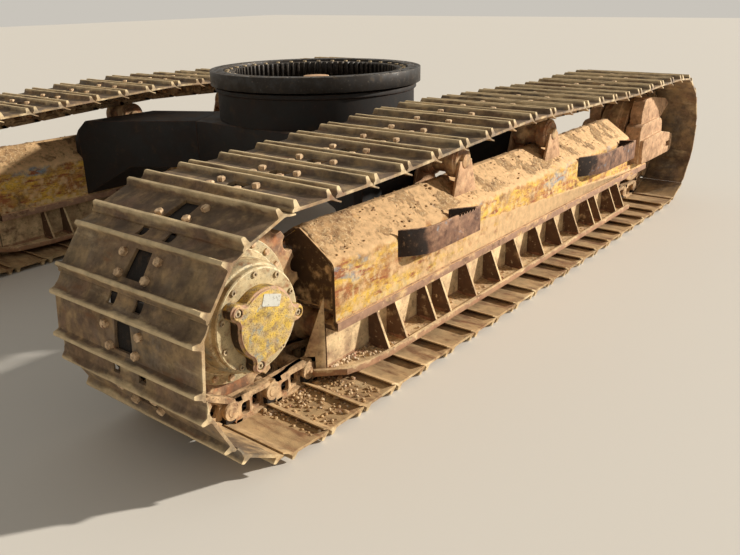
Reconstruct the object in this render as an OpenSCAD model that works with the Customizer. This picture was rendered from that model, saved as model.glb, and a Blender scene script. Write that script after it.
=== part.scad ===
/* [Track chain] */
// Distance between neighbouring chain pins
pitch = 203.2; // [190:0.1:216]
// Links in one closed track
link_count = 50; // [48:1:54]
// Teeth on the sprocket, of which every other one meets a link
sprocket_teeth = 22; // [20:1:24]
// Links that would go once round the idler
idler_links = 11.5; // [10.5:0.5:12.5]
// Share of a link by which the first pin is past the top of the sprocket
chain_phase = 0.9; // [0:0.05:0.95]
// Height of a chain pin above the shoe plate's inner face
pin_to_plate = 57; // [50:1:70]
// Height of the rail's running face above the pin
pin_to_rail = 46; // [40:1:55]
// Clear width between the two rails
rail_gap = 100; // [96:1:110]
// Width of one rail
rail_w = 42; // [30:1:48]

/* [Track shoes] */
// Width of a shoe across the machine
shoe_w = 762; // [600:1:900]
// Thickness of the shoe plate
shoe_plate_t = 11; // [8:0.5:16]
// Height of a grouser above the shoe plate
grouser_h = 28; // [20:1:36]
// Thickness of a grouser at its root
grouser_root_t = 26; // [20:1:34]
// Thickness of a grouser at its tip
grouser_tip_t = 15; // [10:1:20]
// Distance from a shoe's rear pin to its rear grouser
rear_grouser_x = 30; // [24:1:36]
// Distance between the two grousers of one shoe
grouser_gap = 154; // [140:1:160]

/* [Undercarriage layout] */
// Distance between the middles of the two tracks
gauge = 2590; // [2400:5:2900]
// Gap between a fixed round piece and what it touches
seat_gap = 0.3; // [0.2:0.05:0.5]

/* [Sprocket and final drive] */
// Thickness of the toothed ring
sprocket_t = 55; // [45:1:60]
// Radius of the chain bushing that a tooth space holds
bushing_r = 34; // [30:0.5:38]
// Height of a tooth above the foot of its space
tooth_h = 30; // [24:1:33]
// Radius of the hub spigot inside the toothed ring
drive_hub_r = 205; // [180:1:230]
// Radius of the flange that is bolted to the toothed ring
drive_flange_r = 268; // [255:1:285]
// Thickness of the flange that is bolted to the toothed ring
drive_flange_t = 24; // [16:1:30]
// Radius of the gear housing
drive_drum_r = 204; // [198:1:220]
// Radius of the housing's outer face
drive_face_r = 189; // [185:1:205]
// Distance from the track's middle to the housing's outer face
drive_face_y = 177; // [165:1:200]
// Radius of the round middle of the drive cover
cover_r = 130; // [115:1:138]
// Radius at which the three lobes of the drive cover stand
cover_lobe_at = 149; // [140:1:155]
// Radius of one lobe of the drive cover
cover_lobe_r = 30; // [24:1:36]
// Radius of the hollow between a lobe and the round middle
cover_hollow_r = 30; // [15:1:45]
// Thickness of the drive cover
cover_t = 48; // [35:1:60]
// Width and depth of the step round the drive cover's face
cover_rim = 7; // [4:1:10]
// Radius of the sinking for a screw in each lobe
cover_bore_r = 16; // [12:1:20]
// Depth of the sinking for a screw in each lobe
cover_bore_in = 14; // [8:1:18]
// Direction of the lowest lobe, from straight ahead upwards
cover_turn = 252; // [230:1:290]
// Angle between the lowest lobe and each of the two others
cover_spread = 104; // [90:1:120]
// Radius of the drive housing's fixed spigot in the frame
motor_spigot_r = 150; // [130:1:160]
// Radius of the travel motor
motor_r = 112; // [95:1:120]
// Distance from the track's middle to the travel motor's inner end
motor_end_y = 340; // [300:5:380]

/* [Track frame] */
// Half width of the track frame
frame_half_w = 185; // [170:1:200]
// Thickness of the track frame's plates
frame_t = 14; // [10:1:20]
// Height of the underside of the track frame above the ground
frame_z = 268; // [262:0.5:272]
// Height of the bend between the side and the sloping top
frame_knee_z = 544; // [520:1:560]
// Outer radius of the bend between the side and the sloping top
frame_knee_r = 40; // [20:1:50]
// Height of the flat ridge on the track frame
frame_ridge_z = 659; // [640:1:670]
// Half width of the flat ridge
ridge_half_w = 15; // [10:1:25]
// Height of the floor inside the track frame
frame_floor_z = 339; // [335:1:360]
// Thickness of the flange along the frame's bottom edge
flange_t = 20; // [14:1:24]
// Width of the bottom flange from its outer to its inner edge
flange_w = 83; // [75:1:85]
// Reach of the bottom flange beyond the frame's side
flange_lip = 10; // [6:1:14]
// Height of the upright strip on the bottom flange
flange_strip_h = 36; // [30:1:60]
// Distance from the tips of the sprocket's teeth to the frame's rear end
frame_rear_room = 35; // [30:1:45]
// Depth of the frame's end plate inside its rear end
frame_end_in = 10; // [6:1:14]
// Distance from the idler axle back to the frame's front end
frame_front_back = 436; // [405:1:450]
// Distance from the idler axle back to the fork's front end
fork_back = 60; // [40:1:120]
// Radius of the round plate that carries the final drive
drive_plate_r = 262; // [240:1:280]
// Thickness of the plate that carries the final drive
drive_plate_t = 30; // [20:1:36]
// Distance from the track's middle to the drive plate's outer face
drive_plate_y = 75; // [70:1:85]
// Distance from the sprocket axle to where the drive plate leaves its round part
drive_plate_from = 60; // [40:1:90]
// Height of the drive plate's front end above the frame's bend
drive_plate_rise = 40; // [20:1:50]

/* [Roller guard] */
// Distance from the track's middle to the guard wall's outer face
guard_y = 132; // [128:1:140]
// Thickness of the guard's plates
guard_t = 12; // [8:1:16]
// Height of the guard's ledge above the ground
ledge_z = 77; // [70:1:90]
// Distance from the track's middle to the ledge's outer edge
ledge_y = 240; // [225:1:255]
// Height of the bar along the ledge's outer edge
ledge_bar_h = 26; // [20:1:36]
// Thickness of the bar along the ledge's outer edge
ledge_bar_t = 16; // [12:1:24]
// Reach of a gusset beyond the guard wall at its top
gusset_top_w = 38; // [30:1:50]
// Room between the guard wall and a roller's end collar
collar_room = 2; // [1:0.5:3]
// Distance from the idler axle back to the guard's front end
guard_front_back = 506.6; // [460:0.1:540]
// Room between the guard's end plate and the chain's rail
guide_room = 8; // [5:1:12]
// Distance of the guard's upright end plate behind the frame's rear end
guide_back = 6; // [5:1:12]
// Distance from the track's middle to the guard's upright end plate
guide_y = 131; // [130:1:134]
// Length of the guard's end plate at its foot
guide_w = 108; // [80:1:120]
// Height of the guard's end plate's tip above the ground
guide_top_z = 402; // [350:1:410]

/* [Rollers] */
// Bottom rollers on one side
roller_count = 9; // [7:1:9]
// Distance from the sprocket axle to the first bottom roller
first_roller_x = 480; // [450:1:520]
// Distance from the last bottom roller to the idler axle
last_roller_back = 402; // [380:1:460]
// Radius of a bottom roller's tread
roller_r = 82; // [78:0.5:88]
// Radius of a bottom roller's outer flange
roller_flange_r = 98; // [92:0.5:100]
// Radius of a bottom roller between its treads
roller_waist_r = 62; // [50:1:72]
// Radius of a roller shaft
roller_shaft_r = 30; // [24:1:36]
// Radius of a roller's end collar
collar_r = 44; // [38:1:50]
// Length of a roller's end collar foot along the frame
collar_foot = 140; // [110:1:170]
// Radius of a carrier roller's tread
carrier_r = 82; // [76:0.5:88]
// Radius of a carrier roller's shaft
carrier_shaft_r = 33; // [28:1:38]
// Thickness of a carrier bracket plate
bracket_t = 14; // [10:1:18]
// Length of a carrier bracket at its foot
bracket_foot = 230; // [180:1:280]
// Length of a carrier bracket at its top
bracket_top = 104; // [90:1:130]

/* [Idler] */
// Width of the idler's middle flange
idler_flange_w = 76; // [60:1:84]
// Height of the idler's middle flange above its treads
idler_flange_h = 18; // [12:1:22]
// Radius of the idler's hub
idler_hub_r = 92; // [80:1:110]
// Thickness of the idler's web
idler_web_t = 46; // [30:1:60]
// Radius of the idler's shaft
idler_shaft_r = 40; // [34:1:46]
// Distance from the track's middle to the bearing blocks
block_y = 107; // [105:1:112]
// Distance from the track's middle to the tie-down lug's outer face
lug_y = 240; // [225:1:250]
// Thickness of the tie-down lug
lug_t = 65; // [50:1:80]
// Length of the hole in the tie-down lug
lug_hole_w = 96; // [70:1:100]
// Height of the hole in the tie-down lug
lug_hole_h = 42; // [35:1:46]
// Height of the underside of the bearing blocks above the ground
block_z = 344; // [338:1:350]
// Radius of the recoil rod
recoil_r = 70; // [55:1:80]
// Thickness of the yoke between rod and bearing blocks
yoke_t = 46; // [36:1:50]

/* [Steps] */
// Thickness of a step's plates
step_t = 10; // [8:1:14]
// Distance from the track's middle to a step's outer face
step_y = 272; // [255:1:290]
// Height of the saw teeth on a step
step_tooth_h = 14; // [8:1:18]
// Length of one saw tooth on a step
step_tooth_w = 25; // [18:1:30]
// Distance from the sprocket axle to the rear step's rear foot
rear_step_foot_x = 800; // [760:1:820]
// Distance from the sprocket axle to the rear bend of the rear step
rear_step_bend_x = 961; // [920:1:980]
// Distance from the sprocket axle to the front bend of the rear step
rear_step_end_x = 1335; // [1290:1:1360]
// Distance from the sprocket axle to the rear step's front foot
rear_step_root_x = 1210; // [1170:1:1230]
// Distance from the sprocket axle to the rear step's first saw tooth
rear_step_tooth_x = 1140; // [1100:1:1150]
// Height of the rear step's lower edge above the ground
rear_step_z = 455; // [440:1:465]
// Height of the rear step's upper edge above the ground
rear_step_top_z = 575; // [560:1:590]
// Distance from the sprocket axle to the front step's rear foot
front_step_foot_x = 2640; // [2600:1:2660]
// Distance from the sprocket axle to the rear bend of the front step
front_step_bend_x = 2886; // [2840:1:2910]
// Distance from the sprocket axle to the front bend of the front step
front_step_end_x = 3370; // [3320:1:3400]
// Distance from the sprocket axle to the front step's front foot
front_step_root_x = 3310; // [3270:1:3330]
// Distance from the sprocket axle to the front step's first saw tooth
front_step_tooth_x = 3130; // [3090:1:3150]
// Height of the front step's lower edge above the ground
front_step_z = 440; // [425:1:455]
// Height of the front step's upper edge above the ground
front_step_top_z = 560; // [545:1:575]

/* [Car body] */
// Height of the car body's top above the ground
body_top_z = 779; // [760:1:800]
// Height of the underside of the car body's middle
body_z = 489; // [470:1:520]
// Distance from the middle to a leg's rear edge at the track frame
leg_out_x = 1010; // [950:5:1100]
// Distance from the middle to a leg's inner edge at the track frame
leg_in_x = 490; // [440:5:560]
// Half length of the car body's middle
body_half_l = 600; // [560:5:640]
// Half width of the car body's middle where the outer leg edges start
body_half_w = 465; // [420:5:500]
// Height of a leg's underside at the track frame
leg_foot_z = 310; // [306:1:330]
// Length of the sloping underside of a leg
leg_flare = 260; // [200:5:320]
// Distance from the track's middle to a leg's end on the sloping frame top
leg_roof_back = 135; // [125:1:160]
// Height of a leg's end on the sloping frame top
leg_roof_z = 663; // [640:1:700]
// Distance from a leg's end at the frame's side to its sloping top
leg_top_back = 45; // [20:1:90]
// Half length of the car body's side between the legs
body_side_x = 240; // [180:5:300]
// Half width of the car body between the legs
body_side_y = 640; // [600:5:680]
// Radius of the opening in the car body's top plate
body_bore_r = 400; // [360:5:440]
// Radius of the opening in the car body's bottom plate
body_floor_bore_r = 300; // [260:5:340]
// Thickness of the car body's bottom plate
body_floor_t = 20; // [14:1:30]

/* [Slewing ring] */
// Reach of the pedestal beyond the running gap between the races
pedestal_out = 38; // [20:1:50]
// Wall of the pedestal
pedestal_wall = 45; // [30:1:60]
// Height of the pedestal's top above the ground
pedestal_top_z = 975; // [955:1:995]
// Thickness of the flange round the pedestal's top
pedestal_flange_t = 22; // [16:1:30]
// Reach of the flange round the pedestal's top
pedestal_flange_w = 14; // [10:1:22]
// Height of the ball race
race_h = 84; // [70:1:100]
// Radius of the running gap between the two races
race_split_r = 572; // [566:1:576]
// Running gap between the two races
race_gap = 0.5; // [0.3:0.05:0.8]
// Height of the outer race's underside above the pedestal
race_lift = 14; // [10:1:20]
// Thickness of the outer race
outer_race_t = 78; // [70:1:90]
// Thickness of the inner race outside its teeth
inner_race_t = 46; // [40:1:54]
// Reach of the pedestal's top inward, short of the inner race's teeth
pedestal_edge = 10; // [5:1:15]
// Depth of the inner race's teeth
gear_tooth_h = 22; // [16:1:26]
// Teeth inside the inner race
gear_teeth = 84; // [72:2:96]
// Bolt holes in the outer race
race_holes = 32; // [24:4:40]
// Radius of a bolt hole in the outer race
race_hole_r = 12; // [9:0.5:14]
// Distance of the bolt holes in from the outer race's edge
race_hole_in = 32; // [24:1:38]
// Radius of the oil swivel
swivel_r = 105; // [90:1:130]
// Height of the oil swivel's top above the ground
swivel_top_z = 1020; // [980:5:1060]

/* [Hidden] */
$fn = 64;

rust = "#7a5a40";
paint = "#c79a2e";
dirt = "#b08d62";
iron = "#6e5240";
dark = "#3a302a";

// Chain geometry: turn of one link on each wheel, radius of its pin circle, links on half its round
link_angle = 720 / sprocket_teeth;
pin_r = pitch / 2 / sin(link_angle / 2);
half_wrap = sprocket_teeth / 4;
idler_angle = 360 / idler_links;
idler_pin_r = pitch / 2 / sin(idler_angle / 2);
idler_wrap = idler_links / 2;
straight = (link_count - half_wrap - idler_wrap) / 2;
axle_gap = straight * pitch;
axle_z = pin_r + pin_to_plate + shoe_plate_t + grouser_h;
idler_rise = idler_pin_r - pin_r;
idler_z = axle_z + idler_rise;
rail_out = rail_gap / 2 + rail_w;
wheel_rail_r = idler_pin_r * cos(idler_angle / 2) - pin_to_rail;

// Rise of the top run above the wheels' common tangent: [share of the axle gap, rise]
top_run = [[0, 0], [0.07, -2], [0.16, 7], [0.24, 22], [0.31, 34], [0.40, 48], [0.47, 40],
    [0.56, 25], [0.62, 20], [0.70, 5], [0.76, -2], [0.82, 2], [0.88, 6], [1, 0]];

// Place of a pin by its distance along the chain in links, from above the sprocket axle
function pin_path(s) =
    s < straight ? let (share = s / straight)
        [s * pitch, pin_r + 2 * idler_rise * share + lookup(share, top_run)] :
    s < straight + idler_wrap ? let (a = (s - straight) * idler_angle)
        [axle_gap + idler_pin_r * sin(a), idler_rise + idler_pin_r * cos(a)] :
    s < 2 * straight + idler_wrap ? [axle_gap - (s - straight - idler_wrap) * pitch, -pin_r] :
    let (a = (s - 2 * straight - idler_wrap) * link_angle) [-pin_r * sin(a), -pin_r * cos(a)];
function pin_at(i) = pin_path((i + link_count) % link_count + chain_phase);
function along(i) = let (d = pin_at(i + 1) - pin_at(i)) d / norm(d);
function outward(i) = [-along(i)[1], along(i)[0]];
// Point of a link: distance from its rear pin along it, and distance out from its pins
function link_point(i, p) = pin_at(i) + p[0] * along(i) + p[1] * outward(i);
// Corner at a pin of the chain's outline at a distance out from the pins
function corner(i, out) = let (m = outward(i - 1) + outward(i), n = m / norm(m))
    pin_at(i) + n * out / (n * outward(i));
function chain_line(out) = [for (i = [0:link_count - 1]) corner(i, out)];

plate_out = pin_to_plate + shoe_plate_t;
tip_out = plate_out + grouser_h;
function grouser(x) = [[x - grouser_root_t / 2, plate_out], [x - grouser_tip_t / 2, tip_out],
    [x + grouser_tip_t / 2, tip_out], [x + grouser_root_t / 2, plate_out]];
shoe_profile = concat(grouser(rear_grouser_x), grouser(rear_grouser_x + grouser_gap));
shoe_line = [for (i = [0:link_count - 1], p = shoe_profile) link_point(i, p)];

// The tracks' length is centred on the slewing axis
shoe_xs = [for (p = shoe_line) p[0]];
rear_x = -(min(shoe_xs) + max(shoe_xs)) / 2;
idler_x = rear_x + axle_gap;
tooth_tip_r = pin_r - bushing_r + tooth_h;
frame_rear = rear_x + tooth_tip_r + frame_rear_room;
frame_front = idler_x - frame_front_back;
fork_front = idler_x - fork_back;

// Height of the rail over a place on the top run, square to the rail
function over(x) = let (s = (x - rear_x) / pitch - chain_phase, i = floor(s))
    let (a = pin_at(i), d = along(i)) axle_z + a[1] + (x - rear_x - a[0]) * d[1] / d[0];
function carrier_z(x) = let (i = floor((x - rear_x) / pitch - chain_phase))
    over(x) - (pin_to_rail + carrier_r + seat_gap) / along(i)[0];
// Places of the two carrier rollers: share of the axle gap
carrier_xs = [rear_x + 0.366 * axle_gap, rear_x + 0.612 * axle_gap];
roller_z = axle_z - pin_r + pin_to_rail + roller_r + seat_gap;
roller_step = (axle_gap - first_roller_x - last_roller_back) / (roller_count - 1);
roller_xs = [for (i = [0:roller_count - 1]) rear_x + first_roller_x + i * roller_step];

// Slewing ring: everything follows the running gap between the two races
pedestal_r = race_split_r + pedestal_out;
race_r = race_split_r + outer_race_t;
gear_root_r = race_split_r - inner_race_t;
race_hole_at = race_r - race_hole_in;

// Puts a right-hand piece in place, and its mirror image on the left
module side(name) {
    if (name == "right") translate([0, -gauge / 2, 0]) children();
    else mirror([0, 1, 0]) translate([0, -gauge / 2, 0]) children();
}
// Plate drawn in side view between two distances from the track's middle
module upright(y0, y1) translate([0, y1, 0]) rotate([90, 0, 0]) linear_extrude(y1 - y0) children();
// The same plate on both sides of the track's middle
module both(y0, y1) {
    upright(y0, y1) children();
    upright(-y1, -y0) children();
}
// Bar drawn in cross-section between two places along the machine
module lengthwise(x0, x1) translate([x0, 0, 0]) rotate([90, 0, 90]) linear_extrude(x1 - x0) children();
// Turned piece about the cross axis, its profile's height pointing to the machine's outside
module turned(x, z) translate([x, 0, z]) rotate([90, 0, 0]) rotate_extrude($fn = 96) children();
module crosswise(x, z, r, y0, y1) translate([x, y1, z]) rotate([90, 0, 0]) cylinder(y1 - y0, r, r);

module track() color(rust) {
    upright(-shoe_w / 2, shoe_w / 2) translate([rear_x, axle_z]) difference() {
        polygon(shoe_line);
        polygon(chain_line(pin_to_plate));
    }
    both(rail_gap / 2, rail_out) translate([rear_x, axle_z]) difference() {
        polygon(chain_line(pin_to_plate));
        polygon(chain_line(-pin_to_rail));
    }
}

// Direction, from below the axle towards the rear, of the first pin on the sprocket
first_tooth = (ceil(2 * straight + idler_wrap - chain_phase) + chain_phase - 2 * straight - idler_wrap)
    * link_angle;
module tooth_space() translate([0, -pin_r]) circle(bushing_r);
module sprocket() color(dirt) translate([rear_x, 0, axle_z])
    upright(-sprocket_t / 2, sprocket_t / 2) difference() {
        circle(tooth_tip_r, $fn = 128);
        circle(drive_hub_r + seat_gap);
        for (i = [0:sprocket_teeth - 1]) rotate(-first_tooth + i * 360 / sprocket_teeth) tooth_space();
    }

module final_drive() color(dirt) turned(rear_x, axle_z) polygon([
    [0, -sprocket_t / 2], [drive_hub_r, -sprocket_t / 2], [drive_hub_r, sprocket_t / 2],
    [drive_flange_r, sprocket_t / 2], [drive_flange_r, sprocket_t / 2 + drive_flange_t],
    [drive_drum_r + 24, sprocket_t / 2 + drive_flange_t],
    [drive_drum_r, sprocket_t / 2 + drive_flange_t + 30], [drive_drum_r, drive_face_y - 48],
    [drive_face_r + 6, drive_face_y - 27], [drive_face_r, drive_face_y - 27],
    [drive_face_r, drive_face_y - 4], [drive_face_r - 4, drive_face_y], [0, drive_face_y]]);

// Middle of the hollow beside a lobe, seen along the lobe's direction
hollow_at = cover_r + cover_hollow_r;
hollow_x = (pow(hollow_at, 2) - pow(cover_lobe_r + cover_hollow_r, 2) + pow(cover_lobe_at, 2))
    / 2 / cover_lobe_at;
hollow_y = sqrt(pow(hollow_at, 2) - pow(hollow_x, 2));
// The hollow cuts a little into both circles' edges
hollow_in = 0.6;
lobe_turns = [cover_turn - cover_spread, cover_turn, cover_turn + cover_spread];
module cover_outline(inset) {
    circle(cover_r - inset);
    for (a = lobe_turns) rotate(a) {
        translate([cover_lobe_at, 0]) circle(cover_lobe_r - inset);
        difference() {
            polygon([[0, 0], [hollow_x, hollow_y], [cover_lobe_at, 0], [hollow_x, -hollow_y]]);
            for (s = [-1, 1]) translate([hollow_x, s * hollow_y])
                circle(cover_hollow_r + inset + hollow_in);
        }
    }
}
module drive_cover() color(paint) translate([rear_x, 0, axle_z]) difference() {
    union() {
        upright(-drive_face_y - cover_t + cover_rim, -drive_face_y) cover_outline(0);
        upright(-drive_face_y - cover_t, -drive_face_y - cover_t + cover_rim) cover_outline(cover_rim);
    }
    for (a = lobe_turns) rotate([0, -a, 0])
        crosswise(cover_lobe_at, 0, cover_bore_r, -drive_face_y - cover_t - 1,
            -drive_face_y - cover_t + cover_bore_in);
}

module travel_motor() color(dark) {
    crosswise(rear_x, axle_z, drive_hub_r - 12, sprocket_t / 2 + seat_gap, drive_plate_y);
    crosswise(rear_x, axle_z, motor_spigot_r, drive_plate_y, drive_plate_y + drive_plate_t + 24);
    crosswise(rear_x, axle_z, motor_r, drive_plate_y + drive_plate_t + 24, motor_end_y);
    upright(drive_plate_y + drive_plate_t + 70, motor_end_y - 60) translate([rear_x, axle_z])
        translate([0, -60]) square([190, 120]);
}

roof_slope = atan((frame_ridge_z - frame_knee_z) / (frame_half_w - ridge_half_w));
knee_turn = 90 - roof_slope;
// Arc of the bend at a radius, from the upright side up to the sloping top
function knee(r) = let (c = [frame_half_w - frame_knee_r, frame_knee_z - frame_knee_r * tan(knee_turn / 2)])
    [for (i = [0:4]) let (a = i * knee_turn / 4) [c[0] + r * cos(a), c[1] + r * sin(a)]];
function both_ways(p) = concat(p, [for (i = [len(p) - 1:-1:0]) [-p[i][0], p[i][1]]]);
module frame_outside() polygon(both_ways(concat([[frame_half_w, frame_z]], knee(frame_knee_r),
    [[ridge_half_w, frame_ridge_z]])));
module frame_inside() {
    w = frame_half_w - frame_t;
    polygon(both_ways(concat([[w, frame_floor_z + frame_t]], knee(frame_knee_r - frame_t),
        [[ridge_half_w - frame_t * tan(roof_slope / 2), frame_ridge_z - frame_t]])));
    translate([-w, frame_z - 1]) square([2 * w, frame_floor_z - frame_z + 1]);
}
module end_plate(x) lengthwise(x, x + frame_t) difference() {
    frame_outside();
    translate([-frame_half_w, 0]) square([2 * frame_half_w, frame_floor_z]);
}
module flange_section() for (s = [-1, 1]) scale([s, 1]) {
    translate([frame_half_w + flange_lip - flange_w, frame_z]) square([flange_w, flange_t]);
    translate([frame_half_w, frame_z]) square([flange_lip, flange_strip_h]);
}
module track_frame() color(paint) {
    difference() {
        union() {
            lengthwise(frame_rear, frame_front) difference() {
                frame_outside();
                frame_inside();
            }
            end_plate(frame_rear + frame_end_in);
            end_plate(frame_front - frame_t);
        }
        rod_bore();
    }
    lengthwise(frame_rear, fork_front) flange_section();
    both(frame_half_w - frame_t, frame_half_w)
        translate([frame_front, frame_z + flange_t])
            square([fork_front - frame_front, block_z - frame_z - flange_t]);
    upright(drive_plate_y, drive_plate_y + drive_plate_t) difference() {
        h = sqrt(pow(drive_plate_r, 2) - pow(drive_plate_from, 2));
        front = frame_rear + frame_end_in + frame_t / 2;
        union() {
            translate([rear_x, axle_z]) circle(drive_plate_r);
            polygon([[rear_x + drive_plate_from, axle_z + h], [front, frame_knee_z + drive_plate_rise],
                [front, frame_floor_z], [rear_x + drive_plate_from, axle_z - h]]);
        }
        translate([rear_x, axle_z]) circle(motor_spigot_r + seat_gap);
    }
}
module rod_bore() translate([frame_front - frame_t - 1, 0, idler_z]) rotate([0, 90, 0])
    cylinder(frame_t + 2, recoil_r + seat_gap, recoil_r + seat_gap);

// Slant of the guard's end plate from the machine's length towards its middle
guide_turn = 48;
// Places of the guard's gussets: distance from the sprocket axle
gusset_xs = [660, 790, 1020, 1145, 1380, 1625, 1870, 2130, 2365, 2610, 2850, 2965, 3215, 3360];
// Outer edge of the ledge's plate at its rear end: distance from the sprocket axle and from
// the track's middle
ledge_edge = [[334, 104], [395, 166], [424, 199], [512, 224], [655, ledge_y]];
module roller_guard() color(iron) {
    front = idler_x - guard_front_back;
    wall_in = guard_y - guard_t;
    bar_top_z = ledge_z + ledge_bar_h;
    edge = [for (p = ledge_edge) [rear_x + p[0], p[1]]];
    bar_edge = [for (p = edge) p + [-ledge_bar_t / 2, ledge_bar_t]];
    both(wall_in, guard_y) translate([frame_rear, ledge_z + guard_t])
        square([front - frame_rear, frame_z - ledge_z - guard_t]);
    for (s = [-1, 1]) scale([1, s, 1]) {
        translate([0, 0, ledge_z]) linear_extrude(guard_t) polygon(concat(edge,
            [[front, ledge_y], [front, wall_in], [frame_rear, wall_in], [frame_rear, edge[0][1]]]));
        translate([0, 0, ledge_z]) linear_extrude(ledge_bar_h) polygon(concat(bar_edge,
            [[front, ledge_y + ledge_bar_t], [front, ledge_y]],
            [for (i = [len(edge) - 1:-1:0]) edge[i]]));
    }
    for (x = gusset_xs, s = [-1, 1]) scale([1, s, 1]) lengthwise(rear_x + x, rear_x + x + guard_t)
        polygon([[guard_y, ledge_z + guard_t], [ledge_y, ledge_z + guard_t], [ledge_y, bar_top_z],
            [guard_y + gusset_top_w, frame_z], [guard_y, frame_z]]);
    for (s = [-1, 1]) scale([1, s, 1]) guide_plate();
}
// Upright end plate that leads the chain in: it slants inwards over the rail
module guide_plate() {
    rail_z = axle_z - pin_r + pin_to_rail + guide_room;
    foot = (guide_y - rail_out - guide_room) / sin(guide_turn);
    tip = guide_w * (guide_top_z - rail_z) / (guide_top_z - ledge_z - guard_t);
    translate([frame_rear - guide_back, guide_y, 0]) rotate([90, 0, 180 + guide_turn])
        linear_extrude(guard_t, center = true) polygon([[0, ledge_z], [foot, ledge_z], [foot, rail_z],
            [tip, rail_z], [0, guide_top_z]]);
}

roller_profile = [[0, 0], [0, rail_out + 18], [roller_shaft_r, rail_out + 18],
    [roller_shaft_r, rail_out + 16], [roller_flange_r - 8, rail_out + 16],
    [roller_flange_r, rail_out + 10], [roller_flange_r, rail_out + 2], [roller_r, rail_out + 2],
    [roller_r, rail_gap / 2 - 2], [roller_waist_r, rail_gap / 2 - 16], [roller_waist_r, 0]];
function doubled(p) = concat(p, [for (i = [len(p) - 1:-1:0]) [p[i][0], -p[i][1]]]);
collar_y = rail_out + 18;
module bottom_rollers() color(iron) for (x = roller_xs) {
    turned(x, roller_z) polygon(doubled(roller_profile));
    both(collar_y, guard_y - guard_t - collar_room) intersection() {
        union() {
            translate([x, roller_z]) circle(collar_r);
            translate([x - collar_foot / 2, frame_z - 26]) square([collar_foot, 26]);
        }
        translate([x - collar_foot, 0]) square([2 * collar_foot, frame_z]);
    }
}

bracket_y = rail_out + 16;
module carrier_brackets() color(dirt) for (x = carrier_xs) difference() {
    z = carrier_z(x);
    both(bracket_y, bracket_y + bracket_t) difference() {
        polygon([[x - bracket_foot / 2, frame_knee_z], [x - bracket_top / 2, z + 6],
            [x + bracket_top / 2, z + 6], [x + bracket_foot / 2, frame_knee_z]]);
        translate([x, z]) circle(carrier_shaft_r + seat_gap);
        translate([x - carrier_shaft_r - seat_gap, z]) square([2 * (carrier_shaft_r + seat_gap), 20]);
    }
    lengthwise(x - bracket_foot, x + bracket_foot) frame_outside();
}
module carrier_rollers() color(iron) for (x = carrier_xs) turned(x, carrier_z(x))
    polygon(doubled([[0, 0], [0, bracket_y + bracket_t + 4], [carrier_shaft_r, bracket_y + bracket_t + 4],
        [carrier_shaft_r, bracket_y - 2], [carrier_r - 14, bracket_y - 2], [carrier_r - 10, rail_out + 4],
        [carrier_r, rail_out + 2], [carrier_r, rail_gap / 2 - 2], [carrier_r - 20, rail_gap / 2 - 14],
        [carrier_r - 20, 0]]));

idler_r = wheel_rail_r - seat_gap;
module idler() color(iron) turned(idler_x, idler_z) polygon(doubled([[0, 0], [0, block_y + 55],
    [idler_shaft_r, block_y + 55], [idler_shaft_r, block_y - 3], [idler_hub_r, block_y - 3],
    [idler_hub_r, rail_out - 10], [idler_hub_r + 24, idler_web_t / 2], [idler_r - 50, idler_web_t / 2],
    [idler_r - 34, rail_out], [idler_r - 4, rail_out], [idler_r, rail_out - 4], [idler_r, rail_gap / 2 - 4],
    [idler_r + 6, idler_flange_w / 2], [idler_r + idler_flange_h, idler_flange_w / 2 - 8],
    [idler_r + idler_flange_h, 0]]));

// Side views of the casting: [distance ahead of the idler axle, height above the ground]
hump = [[-240, 520], [-250, 690], [-212, 760], [-180, 776], [-86, 781], [224, 740], [300, 700], [304, 686],
    [132, 600], [132, 520]];
shoulder = [[-316, block_z], [-316, 560], [-300, 596], [-262, 612], [54, 622], [100, 612], [128, 585],
    [142, 520], [142, block_z]];
lug = [[-300, block_z], [-316, 440], [-300, 508], [68, 523], [250, 490], [318, 470], [332, 448],
    [330, 376], [310, 352], [278, block_z]];
module idler_blocks() color(dirt) for (s = [-1, 1]) scale([1, s, 1]) difference() {
    union() {
        upright(block_y, 190) translate([idler_x, 0]) polygon(hump);
        upright(block_y, 214) translate([idler_x, 0]) polygon(shoulder);
        upright(lug_y - lug_t, lug_y) translate([idler_x, 0]) polygon(lug);
    }
    crosswise(idler_x, idler_z, idler_shaft_r + seat_gap, block_y - 1, block_y + 58);
    upright(lug_y - lug_t - 1, lug_y + 1) translate([idler_x + 250 - lug_hole_w / 2, 407 - lug_hole_h / 2])
        square([lug_hole_w, lug_hole_h]);
}

module recoil_yoke() color(iron) {
    bar_x = frame_front + 8;
    translate([frame_front - 260, 0, idler_z]) rotate([0, 90, 0]) cylinder(268, recoil_r, recoil_r);
    translate([bar_x, -block_y - 40, idler_z - 60]) cube([yoke_t, 2 * block_y + 80, 120]);
    for (s = [-1, 1]) scale([1, s, 1]) translate([bar_x, block_y, idler_z - 60])
        cube([idler_x - 316 - bar_x, 40, 120]);
}

// Unit vector along one stretch of a bent line, and the line moved to its left by a distance
function stretch(p, i) = (p[i + 1] - p[i]) / norm(p[i + 1] - p[i]);
function to_left(d) = [-d[1], d[0]];
function moved(p, t) = [for (i = [0:len(p) - 1])
    let (a = to_left(stretch(p, max(i - 1, 0))), b = to_left(stretch(p, min(i, len(p) - 2))),
        m = (a + b) / norm(a + b)) p[i] + m * t / (m * a)];
// Plate bent along a line and cut off where it meets the frame's side
module bent_plate(p, t) difference() {
    last = len(p) - 1;
    line = concat([p[0] - 3 * t * stretch(p, 0)], [for (i = [1:last - 1]) p[i]],
        [p[last] + 3 * t * stretch(p, last - 1)]);
    inner = moved(line, t);
    polygon(concat(line, [for (i = [last:-1:0]) inner[i]]));
    translate([p[0][0] - 10 * t, p[0][1]]) square([p[last][0] - p[0][0] + 20 * t, 10 * t]);
}
// Rear bend of a step in three stretches: share of its length and of its reach from the frame
step_bend = [[0.42, 0.62], [0.7, 0.88]];
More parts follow.
